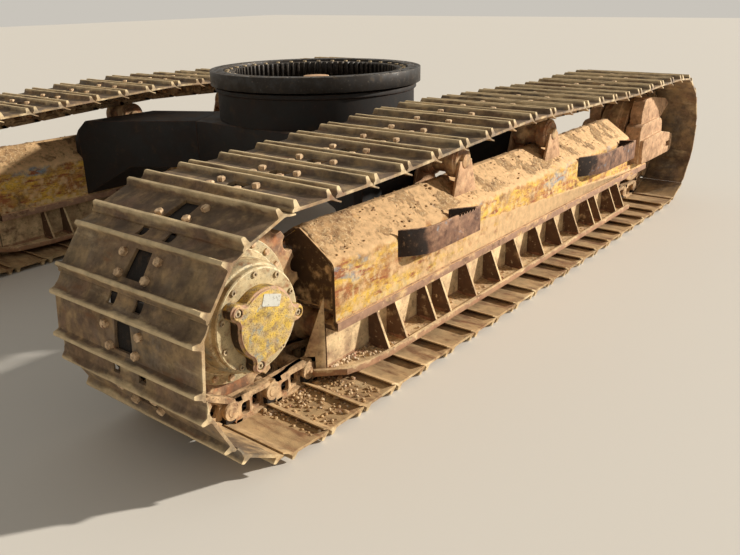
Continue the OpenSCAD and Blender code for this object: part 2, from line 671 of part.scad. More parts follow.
// Step hung on the frame's side: its bends from the sprocket axle, its heights, its first saw tooth
module step(xs, z0, z1, tooth_x) color(dark) difference() {
    bend = [for (b = step_bend) [xs[0] + b[0] * (xs[1] - xs[0]),
        -frame_half_w - b[1] * (step_y - frame_half_w)]];
    translate([rear_x, 0, z0]) linear_extrude(z1 - z0) bent_plate(concat([[xs[0], -frame_half_w]],
        bend, [[xs[1], -step_y], [xs[2], -step_y], [xs[3], -frame_half_w]]), step_t);
    for (x = [tooth_x:step_tooth_w:xs[2] - 2 * step_tooth_w]) upright(-step_y - 1, -step_y + step_t + 1)
        translate([rear_x, z1]) polygon([[x, 1], [x, 0], [x + step_tooth_w / 2, -step_tooth_h],
            [x + step_tooth_w, 0], [x + step_tooth_w, 1]]);
}
module rear_step() step([rear_step_foot_x, rear_step_bend_x, rear_step_end_x, rear_step_root_x],
    rear_step_z, rear_step_top_z, rear_step_tooth_x);
module front_step() step([front_step_foot_x, front_step_bend_x, front_step_end_x, front_step_root_x],
    front_step_z, front_step_top_z, front_step_tooth_x);

// Outline of the car body's middle, and of one leg from its root out to the track frame
leg_end_y = gauge / 2 - frame_half_w;
leg_roof_y = gauge / 2 - leg_roof_back;
body_corners = [[body_half_l, body_half_w], [body_side_x, body_side_y]];
leg_plan = [[body_half_l, body_half_w], [leg_out_x, leg_end_y], [leg_out_x, leg_roof_y],
    [leg_in_x, leg_roof_y], [leg_in_x, leg_end_y], [body_side_x, body_side_y]];
module body_outline() polygon(concat(both_ways(body_corners),
    [for (p = both_ways(body_corners)) [-p[0], -p[1]]]));
module car_body() color(dark) translate([0, 0, body_z + body_floor_t])
    linear_extrude(body_top_z - body_z - body_floor_t) difference() {
        body_outline();
        circle(body_bore_r);
    }
module car_body_floor() color(dark) translate([0, 0, body_z]) linear_extrude(body_floor_t) difference() {
    body_outline();
    circle(body_floor_bore_r);
}
// Side view of a leg: flat under the middle, then down the frame's side, over its roof and back
leg_side = [[body_half_w, body_z], [leg_end_y - leg_flare, body_z], [leg_end_y, leg_foot_z],
    [leg_end_y, frame_knee_z], [leg_roof_y, frame_knee_z + (leg_roof_y - leg_end_y) * tan(roof_slope)],
    [leg_roof_y, leg_roof_z], [leg_end_y - leg_top_back, body_top_z], [body_half_w, body_top_z]];
module car_body_legs() color(dark) for (sx = [-1, 1], sy = [-1, 1]) scale([sx, sy, 1]) intersection() {
    linear_extrude(body_top_z) polygon(leg_plan);
    lengthwise(0, leg_out_x + 1) polygon(leg_side);
}

module slew_pedestal() color(dark) rotate_extrude($fn = 128) polygon([
    [pedestal_r - pedestal_wall, body_top_z], [pedestal_r, body_top_z],
    [pedestal_r, pedestal_top_z - pedestal_flange_t - 8],
    [pedestal_r + pedestal_flange_w, pedestal_top_z - pedestal_flange_t],
    [pedestal_r + pedestal_flange_w, pedestal_top_z],
    [gear_root_r + pedestal_edge, pedestal_top_z],
    [gear_root_r + pedestal_edge, pedestal_top_z - pedestal_flange_t],
    [pedestal_r - pedestal_wall, pedestal_top_z - pedestal_flange_t - 20]]);

// One tooth of the inner race: [share of the tooth pitch, share of the tooth's depth]
gear_tooth = [[-0.3, 0], [-0.16, 1], [0.16, 1], [0.3, 0]];
module gear_outline() polygon([for (i = [0:gear_teeth - 1], p = gear_tooth)
    let (a = (i + p[0]) * 360 / gear_teeth, r = gear_root_r - p[1] * gear_tooth_h)
        [r * cos(a), r * sin(a)]]);
module slew_inner_race() color(iron) translate([0, 0, pedestal_top_z]) linear_extrude(race_h) difference() {
    circle(race_split_r, $fn = 128);
    gear_outline();
}
module slew_outer_race() color(iron) translate([0, 0, pedestal_top_z + race_lift])
    linear_extrude(race_h) difference() {
        circle(race_r, $fn = 128);
        circle(race_split_r + race_gap, $fn = 128);
        for (i = [0:race_holes - 1]) rotate((i + 0.5) * 360 / race_holes)
            translate([race_hole_at, 0]) circle(race_hole_r);
    }

module oil_swivel() color(iron) {
    translate([-body_bore_r + 30, -70, body_z + body_floor_t]) cube([2 * body_bore_r - 60, 140, 20]);
    translate([0, 0, body_z + body_floor_t + 20])
        cylinder(swivel_top_z - 150 - body_z - body_floor_t - 20, swivel_r, swivel_r);
    translate([0, 0, swivel_top_z - 150]) cylinder(150, swivel_r - 25, swivel_r - 25);
}

side("right") track();  // right_track
side("right") sprocket();  // right_sprocket
side("right") final_drive();  // right_final_drive
side("right") drive_cover();  // right_drive_cover
side("right") travel_motor();  // right_travel_motor
side("right") track_frame();  // right_track_frame
side("right") roller_guard();  // right_roller_guard
side("right") bottom_rollers();  // right_bottom_rollers
side("right") carrier_brackets();  // right_carrier_brackets
side("right") carrier_rollers();  // right_carrier_rollers
side("right") idler();  // right_idler
side("right") idler_blocks();  // right_idler_blocks
side("right") recoil_yoke();  // right_recoil_yoke
side("right") rear_step();  // right_rear_step
side("right") front_step();  // right_front_step
side("left") track();  // left_track
side("left") sprocket();  // left_sprocket
side("left") final_drive();  // left_final_drive
side("left") drive_cover();  // left_drive_cover
side("left") travel_motor();  // left_travel_motor
side("left") track_frame();  // left_track_frame
side("left") roller_guard();  // left_roller_guard
side("left") bottom_rollers();  // left_bottom_rollers
side("left") carrier_brackets();  // left_carrier_brackets
side("left") carrier_rollers();  // left_carrier_rollers
side("left") idler();  // left_idler
side("left") idler_blocks();  // left_idler_blocks
side("left") recoil_yoke();  // left_recoil_yoke
side("left") rear_step();  // left_rear_step
side("left") front_step();  // left_front_step
car_body();
car_body_floor();
car_body_legs();
slew_pedestal();
slew_inner_race();
slew_outer_race();
oil_swivel();
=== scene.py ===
import math
import random

import bmesh
import bpy
from mathutils import Matrix, Vector, noise


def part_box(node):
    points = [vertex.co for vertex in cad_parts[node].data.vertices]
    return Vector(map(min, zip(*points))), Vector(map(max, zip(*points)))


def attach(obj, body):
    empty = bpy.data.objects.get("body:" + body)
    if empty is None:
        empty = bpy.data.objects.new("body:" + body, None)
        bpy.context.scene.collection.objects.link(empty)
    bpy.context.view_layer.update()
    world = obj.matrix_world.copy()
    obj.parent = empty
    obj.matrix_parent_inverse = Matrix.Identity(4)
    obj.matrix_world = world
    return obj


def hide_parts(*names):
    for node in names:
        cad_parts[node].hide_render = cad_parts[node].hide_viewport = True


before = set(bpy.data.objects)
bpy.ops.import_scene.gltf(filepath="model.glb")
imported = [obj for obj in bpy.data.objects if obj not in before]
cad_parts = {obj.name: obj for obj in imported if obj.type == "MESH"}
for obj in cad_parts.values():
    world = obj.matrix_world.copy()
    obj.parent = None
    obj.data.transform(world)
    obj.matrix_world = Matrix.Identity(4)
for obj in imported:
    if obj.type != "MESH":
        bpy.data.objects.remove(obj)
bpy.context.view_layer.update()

MM = 0.001
FIXED = "undercarriage"
TURNING = "slewing_ring"
SIDES = ("right", "left")

# Chain, as in the CAD source: a link takes two of the sprocket's teeth, a whole turn about the idler
# would take 11.5 links, and the first pin stands 0.9 of a link past the sprocket's top
LINKS = 50
TEETH = 22
IDLER_LINKS = 11.5
CHAIN_PHASE = 0.9

# Sizes of links and shoes, as in the CAD source, in millimetres
PITCH = 203.2
PIN_TO_PLATE = 57
PLATE_T = 11
GROUSER_H = 28
REAR_GROUSER = 30
FRONT_GROUSER = 184
SHOE_HALF = 381
RAIL_IN = 50
RAIL_OUT = 92
RAIL_TOP = 46
BUSHING_R = 33.5

# Top run: its rise above the wheels' common tangent in millimetres, by share of its length
TOP_RUN = [(0, 0), (0.07, -2), (0.16, 7), (0.24, 22), (0.31, 34), (0.40, 48), (0.47, 40),
           (0.56, 25), (0.62, 20), (0.70, 5), (0.76, -2), (0.82, 2), (0.88, 6), (1, 0)]

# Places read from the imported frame, in millimetres
drive_low, drive_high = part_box("right_final_drive")
idler_low, idler_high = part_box("right_idler")
track_low, track_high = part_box("right_track")
REAR_X = (drive_low[0] + drive_high[0]) / 2 / MM
AXLE_Z = (drive_low[2] + drive_high[2]) / 2 / MM
IDLER_X = (idler_low[0] + idler_high[0]) / 2 / MM
TRACK_Y = (track_low[1] + track_high[1]) / 2 / MM

# Chain path: a sprocket link spans two teeth; pin radii in millimetres, wraps and straights in links
LINK_ANGLE = math.radians(720 / TEETH)
PIN_R = PITCH / 2 / math.sin(LINK_ANGLE / 2)
HALF_WRAP = TEETH / 4
IDLER_ANGLE = math.radians(360 / IDLER_LINKS)
IDLER_PIN_R = PITCH / 2 / math.sin(IDLER_ANGLE / 2)
IDLER_WRAP = IDLER_LINKS / 2
IDLER_RISE = IDLER_PIN_R - PIN_R
STRAIGHT = (LINKS - HALF_WRAP - IDLER_WRAP) / 2
AXLE_GAP = STRAIGHT * PITCH
INNER_SHOE_Z = AXLE_Z - PIN_R - PIN_TO_PLATE

# Track frame, in millimetres: lengths along the machine, half widths and heights over the ground
DRIVE_TO_FRAME, FORK_L, STRIP_TO_IDLER = 391.6, 480, 330
FRAME_REAR = REAR_X + DRIVE_TO_FRAME
ROOF_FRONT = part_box("right_track_frame")[1][0] / MM - FORK_L
STRIP_TOP, STRIP_END = 304, IDLER_X - STRIP_TO_IDLER
FRAME_HALF, RIDGE_HALF, RIDGE_Z, KNEE_Z = 185, 15, 659, 544
ROOF_FALL = (RIDGE_Z - KNEE_Z) / (FRAME_HALF - RIDGE_HALF)

# Ledge of the roller guard, in millimetres: its height, its wall and edge from the track's middle, and
# where it starts and is at its full width from the sprocket's axle
LEDGE_Z, LEDGE_WALL, LEDGE_EDGE = 89, 132, 240
LEDGE_START, LEDGE_FULL, LEDGE_LEAST = 360, 655, 0.2


# Places along the chain


def top_rise(share):
    """Rise of the top run above the wheels' common tangent at a share of its length"""
    for (x0, z0), (x1, z1) in zip(TOP_RUN, TOP_RUN[1:]):
        if share <= x1:
            return z0 + (z1 - z0) * (share - x0) / (x1 - x0)
    return 0


def pin_path(s):
    """Place of a pin by its distance along the chain in links, from above the sprocket axle"""
    if s < STRAIGHT:
        share = s / STRAIGHT
        return Vector((s * PITCH, 0, PIN_R + 2 * IDLER_RISE * share + top_rise(share)))
    if s < STRAIGHT + IDLER_WRAP:
        a = (s - STRAIGHT) * IDLER_ANGLE
        return Vector((AXLE_GAP + IDLER_PIN_R * math.sin(a), 0, IDLER_RISE + IDLER_PIN_R * math.cos(a)))
    if s < 2 * STRAIGHT + IDLER_WRAP:
        return Vector((AXLE_GAP - (s - STRAIGHT - IDLER_WRAP) * PITCH, 0, -PIN_R))
    a = (s - 2 * STRAIGHT - IDLER_WRAP) * LINK_ANGLE
    return Vector((-PIN_R * math.sin(a), 0, -PIN_R * math.cos(a)))


def pin_at(i):
    """Place of a link's rear pin on the machine, in the track's middle plane"""
    return Vector((REAR_X, 0, AXLE_Z)) + pin_path(i % LINKS + CHAIN_PHASE)


def side_y(side):
    """Middle of a side's track across the machine"""
    return TRACK_Y if side == "right" else -TRACK_Y


def link_place(i, side):
    """Matrix of a link: its x runs along the chain, its z points out to the shoe"""
    start, end = pin_at(i), pin_at(i + 1)
    along = (end - start).normalized()
    turn = Matrix(((along.x, 0, -along.z), (0, 1, 0), (along.z, 0, along.x))).to_4x4()
    return Matrix.Translation((start + Vector((0, side_y(side), 0))) * MM) @ turn


# Mesh helpers


def prism(outline, y0, y1):
    """Outline in side view, in millimetres, drawn out across the machine"""
    bm = bmesh.new()
    face = bm.faces.new([bm.verts.new((x * MM, y0 * MM, z * MM)) for x, z in outline])
    new = bmesh.ops.extrude_face_region(bm, geom=[face])["geom"]
    moved = [g for g in new if isinstance(g, bmesh.types.BMVert)]
    bmesh.ops.translate(bm, verts=moved, vec=(0, (y1 - y0) * MM, 0))
    bmesh.ops.recalc_face_normals(bm, faces=bm.faces)
    return bm


def cut(bm, point, normal):
    """Cuts all faces along a plane without taking anything away"""
    geom = bm.verts[:] + bm.edges[:] + bm.faces[:]
    bmesh.ops.bisect_plane(bm, geom=geom, plane_co=Vector(point) * MM, plane_no=normal)


def open_through(bm, faces):
    """Opens two facing sets of faces into one hole with walls"""
    bmesh.ops.delete(bm, geom=faces, context="FACES")
    rim = [e for e in bm.edges if e.is_boundary]
    bmesh.ops.bridge_loops(bm, edges=rim)


def cylinder(radius, y0, y1, segments, tip=None):
    """Closed cylinder about the cross axis, in millimetres, narrowed to its tip if one is given"""
    bm = bmesh.new()
    bmesh.ops.create_cone(bm, cap_ends=True, segments=segments, radius1=radius * MM,
                          radius2=(radius if tip is None else tip) * MM, depth=abs(y1 - y0) * MM)
    turn = Matrix.Rotation(math.radians(90 if y1 < y0 else -90), 4, "X")
    bmesh.ops.transform(bm, matrix=Matrix.Translation(Vector((0, (y0 + y1) / 2, 0)) * MM) @ turn,
                        verts=bm.verts)
    return bm


def as_mesh(bm, name):
    """Turns a bmesh into a mesh and frees it"""
    mesh = bpy.data.meshes.new(name)
    bm.to_mesh(mesh)
    bm.free()
    return mesh


def stamp(target, mesh, matrix):
    """Adds a copy of a mesh to a bmesh at a place, its faces outward if it is mirrored"""
    start, first = len(target.verts), len(target.faces)
    target.from_mesh(mesh)
    target.verts.ensure_lookup_table()
    target.faces.ensure_lookup_table()
    bmesh.ops.transform(target, matrix=matrix, verts=target.verts[start:])
    if matrix.determinant() < 0:
        bmesh.ops.reverse_faces(target, faces=target.faces[first:])


def stamp_once(target, part, matrix):
    """Adds a bmesh to another at a place and drops it"""
    mesh = as_mesh(part, "part")
    stamp(target, mesh, matrix)
    bpy.data.meshes.remove(mesh)


def smooth_by_angle(mesh, angle):
    """Shades a mesh smooth but for edges sharper than an angle"""
    for polygon in mesh.polygons:
        polygon.use_smooth = True
    mesh.set_sharp_from_angle(angle=math.radians(angle))


def finished(bm, name, material, body=FIXED, angle=35):
    """Turns a bmesh into a piece of the object"""
    mesh = as_mesh(bm, name)
    smooth_by_angle(mesh, angle)
    mesh.materials.append(material)
    piece = bpy.data.objects.new(name, mesh)
    bpy.context.scene.collection.objects.link(piece)
    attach(piece, body)
    return piece


# Materials


def linear(hex_colour):
    """Linear colour of an sRGB hex value"""
    parts = [int(hex_colour[i:i + 2], 16) / 255 for i in (1, 3, 5)]
    return [c / 12.92 if c <= 0.04045 else ((c + 0.055) / 1.055) ** 2.4 for c in parts] + [1]


def add(tree, kind, inputs=None, **settings):
    """Adds a node with its settings, values and links"""
    node = tree.nodes.new("ShaderNode" + kind)
    for name, value in settings.items():
        setattr(node, name, value)
    for name, value in (inputs or {}).items():
        if isinstance(value, bpy.types.NodeSocket):
            tree.links.new(value, node.inputs[name])
        else:
            node.inputs[name].default_value = value
    return node


def layer(colour, patch, share, soft=0.06, rough=0.9, up=0.0, rear=0.0, wear=0.0, low=None,
          stretch=(1, 1, 1), thick=0.0, metal=0.0, amount=1.0):
    """One coat or stain: its patches' size in millimetres and share of the surface, then what it gathers
    on: faces turned up or to the rear, worn edges, and a low stretch given by its two heights and rise; its
    weight on faces turned to the rear lays painted shade"""
    return dict(colour=colour, patch=patch, share=share, soft=soft, rough=rough, up=up, rear=rear,
                wear=wear, low=low, stretch=stretch, thick=thick, metal=metal, amount=amount)


# Noise: range and spread of its usual values, and the shift that keeps one coat's patches off another's
NOISE_LOW, NOISE_HIGH, NOISE_SPREAD = 0.3, 0.7, 0.42
COAT_SHIFT = (3.1, 1.7, 0.9)
# Softness of the mask of painted shade on faces turned to the rear, play of the roughness, and depth of the
# relief in metres
PAINTED_SHADE_BLEND, ROUGH_PLAY, RELIEF = 0.18, 0.08, 2 * MM


def cloud(tree, place, patch, detail, rough):
    """Noise with patches of a size in millimetres"""
    return add(tree, "TexNoise", {"Vector": place, "Scale": 1000 / patch, "Detail": detail,
                                  "Roughness": rough}).outputs["Fac"]


def ramp(tree, value, start, end, low, high, **settings):
    """Maps the range from start to end onto the range from low to high, held at its ends"""
    return add(tree, "MapRange", {0: value, 1: start, 2: end, 3: low, 4: high}, **settings).outputs[0]


def spread(tree, value, low, high):
    """Stretches a noise's usual values over a range"""
    return ramp(tree, value, NOISE_LOW, NOISE_HIGH, low, high)


def times_plus(tree, value, factor, more):
    """A value times a factor plus another value"""
    return add(tree, "Math", {0: value, 1: factor, 2: more}, operation="MULTIPLY_ADD").outputs[0]


def blend(tree, mask, under, over):
    """One value under a mask, another where it lies"""
    return add(tree, "Mix", {0: mask, 2: under, 3: over}).outputs[0]


def gathering_places(tree, place, painted_shade_from):
    """What a coat can follow: faces turned up, faces turned to the rear where painted shade goes, rubbed
    edges, height
    """
    normal = add(tree, "NewGeometry").outputs["Normal"]
    facing = add(tree, "SeparateXYZ", {0: normal}).outputs
    # painted shade: faces turned to the rear, away from the sun, take the dark coats that follow this mask
    rear = ramp(tree, facing["X"], painted_shade_from, painted_shade_from - PAINTED_SHADE_BLEND, 0, 1)
    height = add(tree, "SeparateXYZ", {0: place}).outputs["Z"]
    worn = add(tree, "Attribute", attribute_name="wear").outputs["Fac"]
    return {"up": facing["Z"], "rear": rear, "wear": worn, "height": height}


def coat_mask(tree, coat, k, place, gathers):
    """How much of a coat lies at each point, from none to its full amount"""
    moved = add(tree, "Mapping", {"Vector": place, "Location": [shift * k for shift in COAT_SHIFT],
                                  "Scale": coat["stretch"]}).outputs[0]
    cover = cloud(tree, moved, coat["patch"], 7, 0.62)
    for key in ("up", "rear", "wear"):
        if coat[key]:
            cover = times_plus(tree, gathers[key], coat[key], cover)
    if coat["low"]:
        z0, z1, rise = coat["low"]
        near = ramp(tree, gathers["height"], z0, z1, rise, 0)
        cover = add(tree, "Math", {0: near, 1: cover}, operation="ADD").outputs[0]
    edge = 0.5 + (0.5 - coat["share"]) * NOISE_SPREAD
    return ramp(tree, cover, edge - coat["soft"], edge + coat["soft"], 0, coat["amount"],
                interpolation_type="SMOOTHSTEP")


def weathered(name, base, rough, layers, metal=0.0, tone=0.35, tone_mm=70, grain_mm=5, grain=0.35,
              painted_shade_from=-0.8):
    """Material of a ground coat under stains, dust, bare edges and painted shade on faces turned to the
    rear, with a fine grain
    """
    material = bpy.data.materials.new(name)
    material.use_nodes = True
    tree = material.node_tree
    tree.nodes.clear()
    place = add(tree, "TexCoord").outputs["Object"]
    gathers = gathering_places(tree, place, painted_shade_from)
    value = spread(tree, cloud(tree, place, tone_mm, 6, 0.6), 1 - tone, 1 + tone)
    fine = cloud(tree, place, grain_mm, 4, 0.65)
    colour = add(tree, "HueSaturation", {"Color": linear(base), "Value": value}).outputs[0]
    roughness = spread(tree, fine, rough - ROUGH_PLAY, rough + ROUGH_PLAY)
    metallic = add(tree, "Value").outputs[0]
    metallic.default_value = metal
    relief = add(tree, "Math", {0: fine, 1: grain}, operation="MULTIPLY").outputs[0]
    for k, coat in enumerate(layers):
        mask = coat_mask(tree, coat, k, place, gathers)
        tint = add(tree, "HueSaturation", {"Color": linear(coat["colour"]), "Value": value}).outputs[0]
        colour = add(tree, "Mix", {0: mask, 6: colour, 7: tint}, data_type="RGBA").outputs[2]
        roughness = blend(tree, mask, roughness, coat["rough"])
        metallic = blend(tree, mask, metallic, coat["metal"])
        if coat["thick"]:
            relief = times_plus(tree, mask, coat["thick"], relief)
    bump = add(tree, "Bump", {"Height": relief, "Strength": 1.0, "Distance": RELIEF}).outputs[0]
    shader = add(tree, "BsdfPrincipled", {"Base Color": colour, "Roughness": roughness,
                                          "Metallic": metallic, "Normal": bump})
    add(tree, "OutputMaterial", {"Surface": shader.outputs[0]})
    return material


# Rolled track-shoe steel: brown rust skin gone smooth, blue-grey where rubbed, pale grouser tips, pale ends
# partly as a painted highlight, and painted shade darkening faces turned up, standing in for the upper
# structure's shade over the top run
shoe_steel = weathered("shoe_steel", "#856d54", 0.6, [
    layer("#7a523a", 320, 0.36, soft=0.22, rough=0.8, amount=0.8),
    layer("#6b6c66", 380, 0.36, soft=0.18, rough=0.45, metal=0.3, amount=0.8),
    layer("#8a7550", 240, 0.32, soft=0.22, rough=0.9, amount=0.8),
    layer("#54412f", 24, 0.30, soft=0.10, rough=0.8, amount=0.6),
    layer("#a98f68", 34, 0.16, soft=0.07, rough=0.95, thick=0.15, amount=0.6),
    # painted shade: dark on faces turned up, for the upper structure's shade over the top run
    layer("#4c3c2c", 130, 0.20, soft=0.16, rough=0.8, up=0.18, amount=0.8),
    layer("#b3956b", 60, 0.30, soft=0.20, rough=0.95, up=-0.06, low=(0.03, 0.12, 0.48)),
    layer("#7d5738", 40, 0.10, soft=0.12, rough=0.9, stretch=(1, 0.25, 1), low=(0.03, 0.10, 0.12)),
    # pale rubbed grouser tips and shoe ends; on the ends partly a painted highlight
    layer("#d2ba90", 90, 0.06, soft=0.12, rough=0.7, stretch=(1, 0.4, 1), wear=0.42)],
    tone=0.26, tone_mm=55, grain_mm=3, grain=0.8)

# Forged chain links: tan baked-on dust over rust, running faces rubbed
link_steel = weathered("link_steel", "#7d6147", 0.75, [
    layer("#8f5c38", 40, 0.35, soft=0.09),
    layer("#c3a47c", 60, 0.60, soft=0.14, rough=0.95, up=0.06, thick=0.3),
    layer("#4a3626", 10, 0.24, soft=0.08, amount=0.7)],
    tone=0.28, tone_mm=30, grain_mm=4, grain=0.6)

# Bolt heads: rubbed round, pinkish tan of dust on bare steel
bolt_steel = weathered("bolt_steel", "#a98a68", 0.6, [
    layer("#dcbd96", 20, 0.6, soft=0.1, rough=0.85),
    layer("#7a4a2a", 12, 0.22, soft=0.06)],
    metal=0.15, tone=0.22, tone_mm=16, grain_mm=3, grain=0.4)

# Cast steel wheels and rollers: orange-brown rust, dusty, dark where greasy
worn_iron = weathered("worn_iron", "#7a5a42", 0.7, [
    layer("#a06c48", 38, 0.42, soft=0.12),
    layer("#c3a378", 70, 0.44, soft=0.14, rough=0.95, up=0.08, thick=0.3),
    layer("#c9a27a", 18, 0.02, soft=0.10, rough=0.6, wear=0.20)],
    tone=0.35, tone_mm=40, grain_mm=4, grain=0.6)

# Gear housing: olive-tan dust film over old paint, oil-dark in the grooves
housing_paint = weathered("housing_paint", "#aa9872", 0.6, [
    layer("#787f76", 90, 0.36, soft=0.10, rough=0.45),
    layer("#c4b086", 80, 0.44, soft=0.16, rough=0.9, up=0.08),
    layer("#8a6644", 40, 0.28, soft=0.10),
    layer("#4a3a28", 6, 0.24, soft=0.07, amount=0.6),
    layer("#d2c199", 14, 0.02, soft=0.08, rough=0.6, wear=0.22)],
    tone=0.22, tone_mm=60, grain_mm=3, grain=0.3)

# Cover enamel: yellow gone dull, speckled through with rust, pinkish brown along its rim, and painted shade
# on its faces turned to the rear
cover_enamel = weathered("cover_enamel", "#d0ad40", 0.6, [
    layer("#b8a174", 40, 0.48, soft=0.14, rough=0.85),
    layer("#94774f", 22, 0.36, soft=0.12, rough=0.8, amount=0.7),
    layer("#85908e", 36, 0.26, soft=0.07, rough=0.75, amount=0.75),
    layer("#6e4c2c", 5, 0.34, soft=0.05, rough=0.85, thick=-0.3, amount=0.85),
    # painted shade: dark on faces turned to the rear
    layer("#3a2c1a", 60, 0.20, soft=0.12, rear=0.4),
    layer("#b99478", 26, 0.10, soft=0.10, rough=0.85, wear=0.24)],
    tone=0.2, tone_mm=30, grain_mm=3, grain=0.4)

# Frame paint: yellow worn to blue-grey primer and rust in drawn-out bands, tan dust over the upper side,
# and painted shade darkening the faces turned to the rear, such as the end that faces the sprocket
frame_paint = weathered("frame_paint", "#9c6234", 0.75, [
    layer("#e2b640", 150, 0.72, soft=0.10, rough=0.6, thick=0.2, stretch=(0.4, 1, 1.2)),
    layer("#a56c3e", 90, 0.36, soft=0.10, rough=0.85, stretch=(0.4, 1, 1.1)),
    layer("#bf9358", 40, 0.34, soft=0.10, rough=0.85, stretch=(0.5, 1, 1.1), amount=0.7),
    layer("#808f98", 130, 0.40, soft=0.05, rough=0.7, stretch=(0.5, 1, 1), low=(0.40, 0.52, -0.14)),
    layer("#965430", 34, 0.36, soft=0.08, rough=0.85, stretch=(0.35, 1, 1.4), thick=-0.2),
    layer("#5c3c24", 9, 0.26, soft=0.06, rough=0.85, stretch=(0.6, 1, 1.2), amount=0.7),
    layer("#b38959", 70, 0.38, soft=0.10, rough=0.95, stretch=(0.5, 1, 1), low=(0.34, 0.56, -0.12)),
    layer("#d9bd8c", 30, 0.30, soft=0.10, rough=0.9, low=(0.33, 0.342, 0.12), amount=0.8),
    layer("#9d7a62", 60, 0.10, soft=0.07, rough=0.85, stretch=(0.4, 1, 1), low=(0.303, 0.309, 0.3)),
    # painted shade: dark on faces turned to the rear
    layer("#4a341f", 90, 0.12, soft=0.14, rough=0.95, rear=0.34),
    layer("#dbb585", 80, 0.16, soft=0.10, rough=0.97, up=0.40, thick=0.5),
    layer("#8f7049", 22, 0.20, soft=0.08, rough=0.97, up=0.06, low=(0.54, 0.56, -0.3), amount=0.6),
    layer("#e9c996", 30, 0.05, soft=0.10, rough=0.85, wear=0.20)],
    tone=0.18, tone_mm=30, grain_mm=4, grain=0.5)

# Guard plates: tan with dried dust over mill rust, painted shade on faces turned to the rear, sand on the
# ledge
guard_plate = weathered("guard_plate", "#a08062", 0.85, [
    layer("#8a664a", 50, 0.30, soft=0.10),
    layer("#dcc093", 90, 0.62, soft=0.18, rough=0.95, up=0.02, thick=0.3),
    layer("#6e5038", 14, 0.22, soft=0.08, amount=0.6),
    # painted shade: dark on faces turned to the rear
    layer("#5a3f2a", 70, 0.14, soft=0.12, rear=0.34),
    layer("#94694e", 60, 0.10, soft=0.08, up=-0.5, low=(0.104, 0.110, 0.3), amount=0.8),
    layer("#ecd0a4", 20, 0.05, soft=0.1, rough=0.8, wear=0.24)],
    tone=0.2, tone_mm=40, grain_mm=4, grain=0.6)

# Step plates: reddish brown weather rust with pale scuffs, and near-black painted shade on faces turned to
# the rear
step_plate = weathered("step_plate", "#76533d", 0.78, [
    layer("#553829", 40, 0.38, soft=0.10),
    layer("#a07a5e", 60, 0.34, soft=0.12, rough=0.9, up=0.2, thick=0.2),
    layer("#80858a", 50, 0.14, soft=0.06, rough=0.7),
    # painted shade: near-black on faces turned to the rear
    layer("#1f140d", 80, 0.14, soft=0.14, rear=0.40, amount=0.95),
    layer("#b8926f", 16, 0.05, soft=0.1, rough=0.7, wear=0.22)],
    tone=0.28, tone_mm=30, grain_mm=4, grain=0.6, painted_shade_from=-0.3)

# Cast blocks: pale dusty tan skin of a sand casting with rust in the hollows
casting = weathered("dusty_casting", "#a07a5a", 0.88, [
    layer("#cda680", 90, 0.62, soft=0.18, rough=0.95, up=0.08, thick=0.3),
    layer("#7f573e", 40, 0.28, soft=0.12, amount=0.7),
    layer("#ecd2a8", 20, 0.05, soft=0.1, rough=0.85, wear=0.2)],
    tone=0.22, tone_mm=40, grain_mm=5, grain=0.8)

# Car body paint: near-black as painted shade of the upper structure, which is not built, brown dust on top,
# rust at its edges
body_paint_and_shade = weathered("body_paint_and_shade", "#120e0b", 0.7, [
    layer("#1f150f", 120, 0.45, soft=0.1, rough=0.8),
    layer("#4a3826", 90, 0.08, soft=0.12, rough=0.95, up=0.14, thick=0.3, amount=0.7),
    layer("#3f2b1f", 26, 0.05, soft=0.08, rough=0.8, wear=0.2)],
    tone=0.3, tone_mm=80, grain_mm=5, grain=0.35)

# Race steel: machined ring gone dull under old grease, thin dust
race_steel = weathered("race_steel", "#2a241f", 0.5, [
    layer("#15110f", 60, 0.42, soft=0.08, rough=0.4),
    layer("#4d3f2e", 50, 0.14, soft=0.1, rough=0.9, up=0.08, metal=0.0),
    layer("#7a7064", 14, 0.04, soft=0.1, rough=0.4, wear=0.18, metal=0.8)],
    metal=0.5, tone=0.2, tone_mm=60, grain_mm=2, grain=0.15)

# Dry sandy earth: loose, matt, in tan clods
earth = weathered("dry_earth", "#b08d62", 0.98, [
    layer("#866645", 45, 0.38, soft=0.12, rough=0.98),
    layer("#cbae84", 14, 0.35, soft=0.10, rough=0.98, thick=0.6)],
    tone=0.25, tone_mm=30, grain_mm=5, grain=1.4)

# Earth pressed hard between the chain links, near-black as painted shade of the gaps behind the mud holes
# and the lips
packed_earth_and_shade = weathered("packed_earth_and_shade", "#1c150f", 0.95, [
    layer("#3d2e20", 30, 0.26, soft=0.1, rough=0.98)],
    tone=0.3, tone_mm=20, grain_mm=4, grain=1.0)

# Pebbles: pale stone in tan, pink and grey
pebble = weathered("pebble", "#c7ab85", 0.9, [
    layer("#e2cdb0", 30, 0.4, soft=0.05),
    layer("#a8795f", 34, 0.3, soft=0.05),
    layer("#8d7660", 26, 0.3, soft=0.05)],
    tone=0.25, tone_mm=18, grain_mm=3, grain=0.5)

# Cap screws: dark blackened heads, rims rubbed bright, sockets full of dirt
screw_steel = weathered("screw_steel", "#8f7f68", 0.55, [
    layer("#c4ae88", 14, 0.5, soft=0.1, rough=0.85),
    layer("#3a2f26", 9, 0.2, soft=0.06)],
    metal=0.2, tone=0.25, tone_mm=12, grain_mm=2, grain=0.3)

# Blank data plate: thin matt aluminium, slightly scratched
plate_metal = weathered("plate_aluminium", "#d8d8cf", 0.38, [
    layer("#9a958a", 16, 0.30, soft=0.08, rough=0.5)],
    metal=0.6, tone=0.1, tone_mm=20, grain_mm=2, grain=0.1)


# Worn copies of the CAD pieces


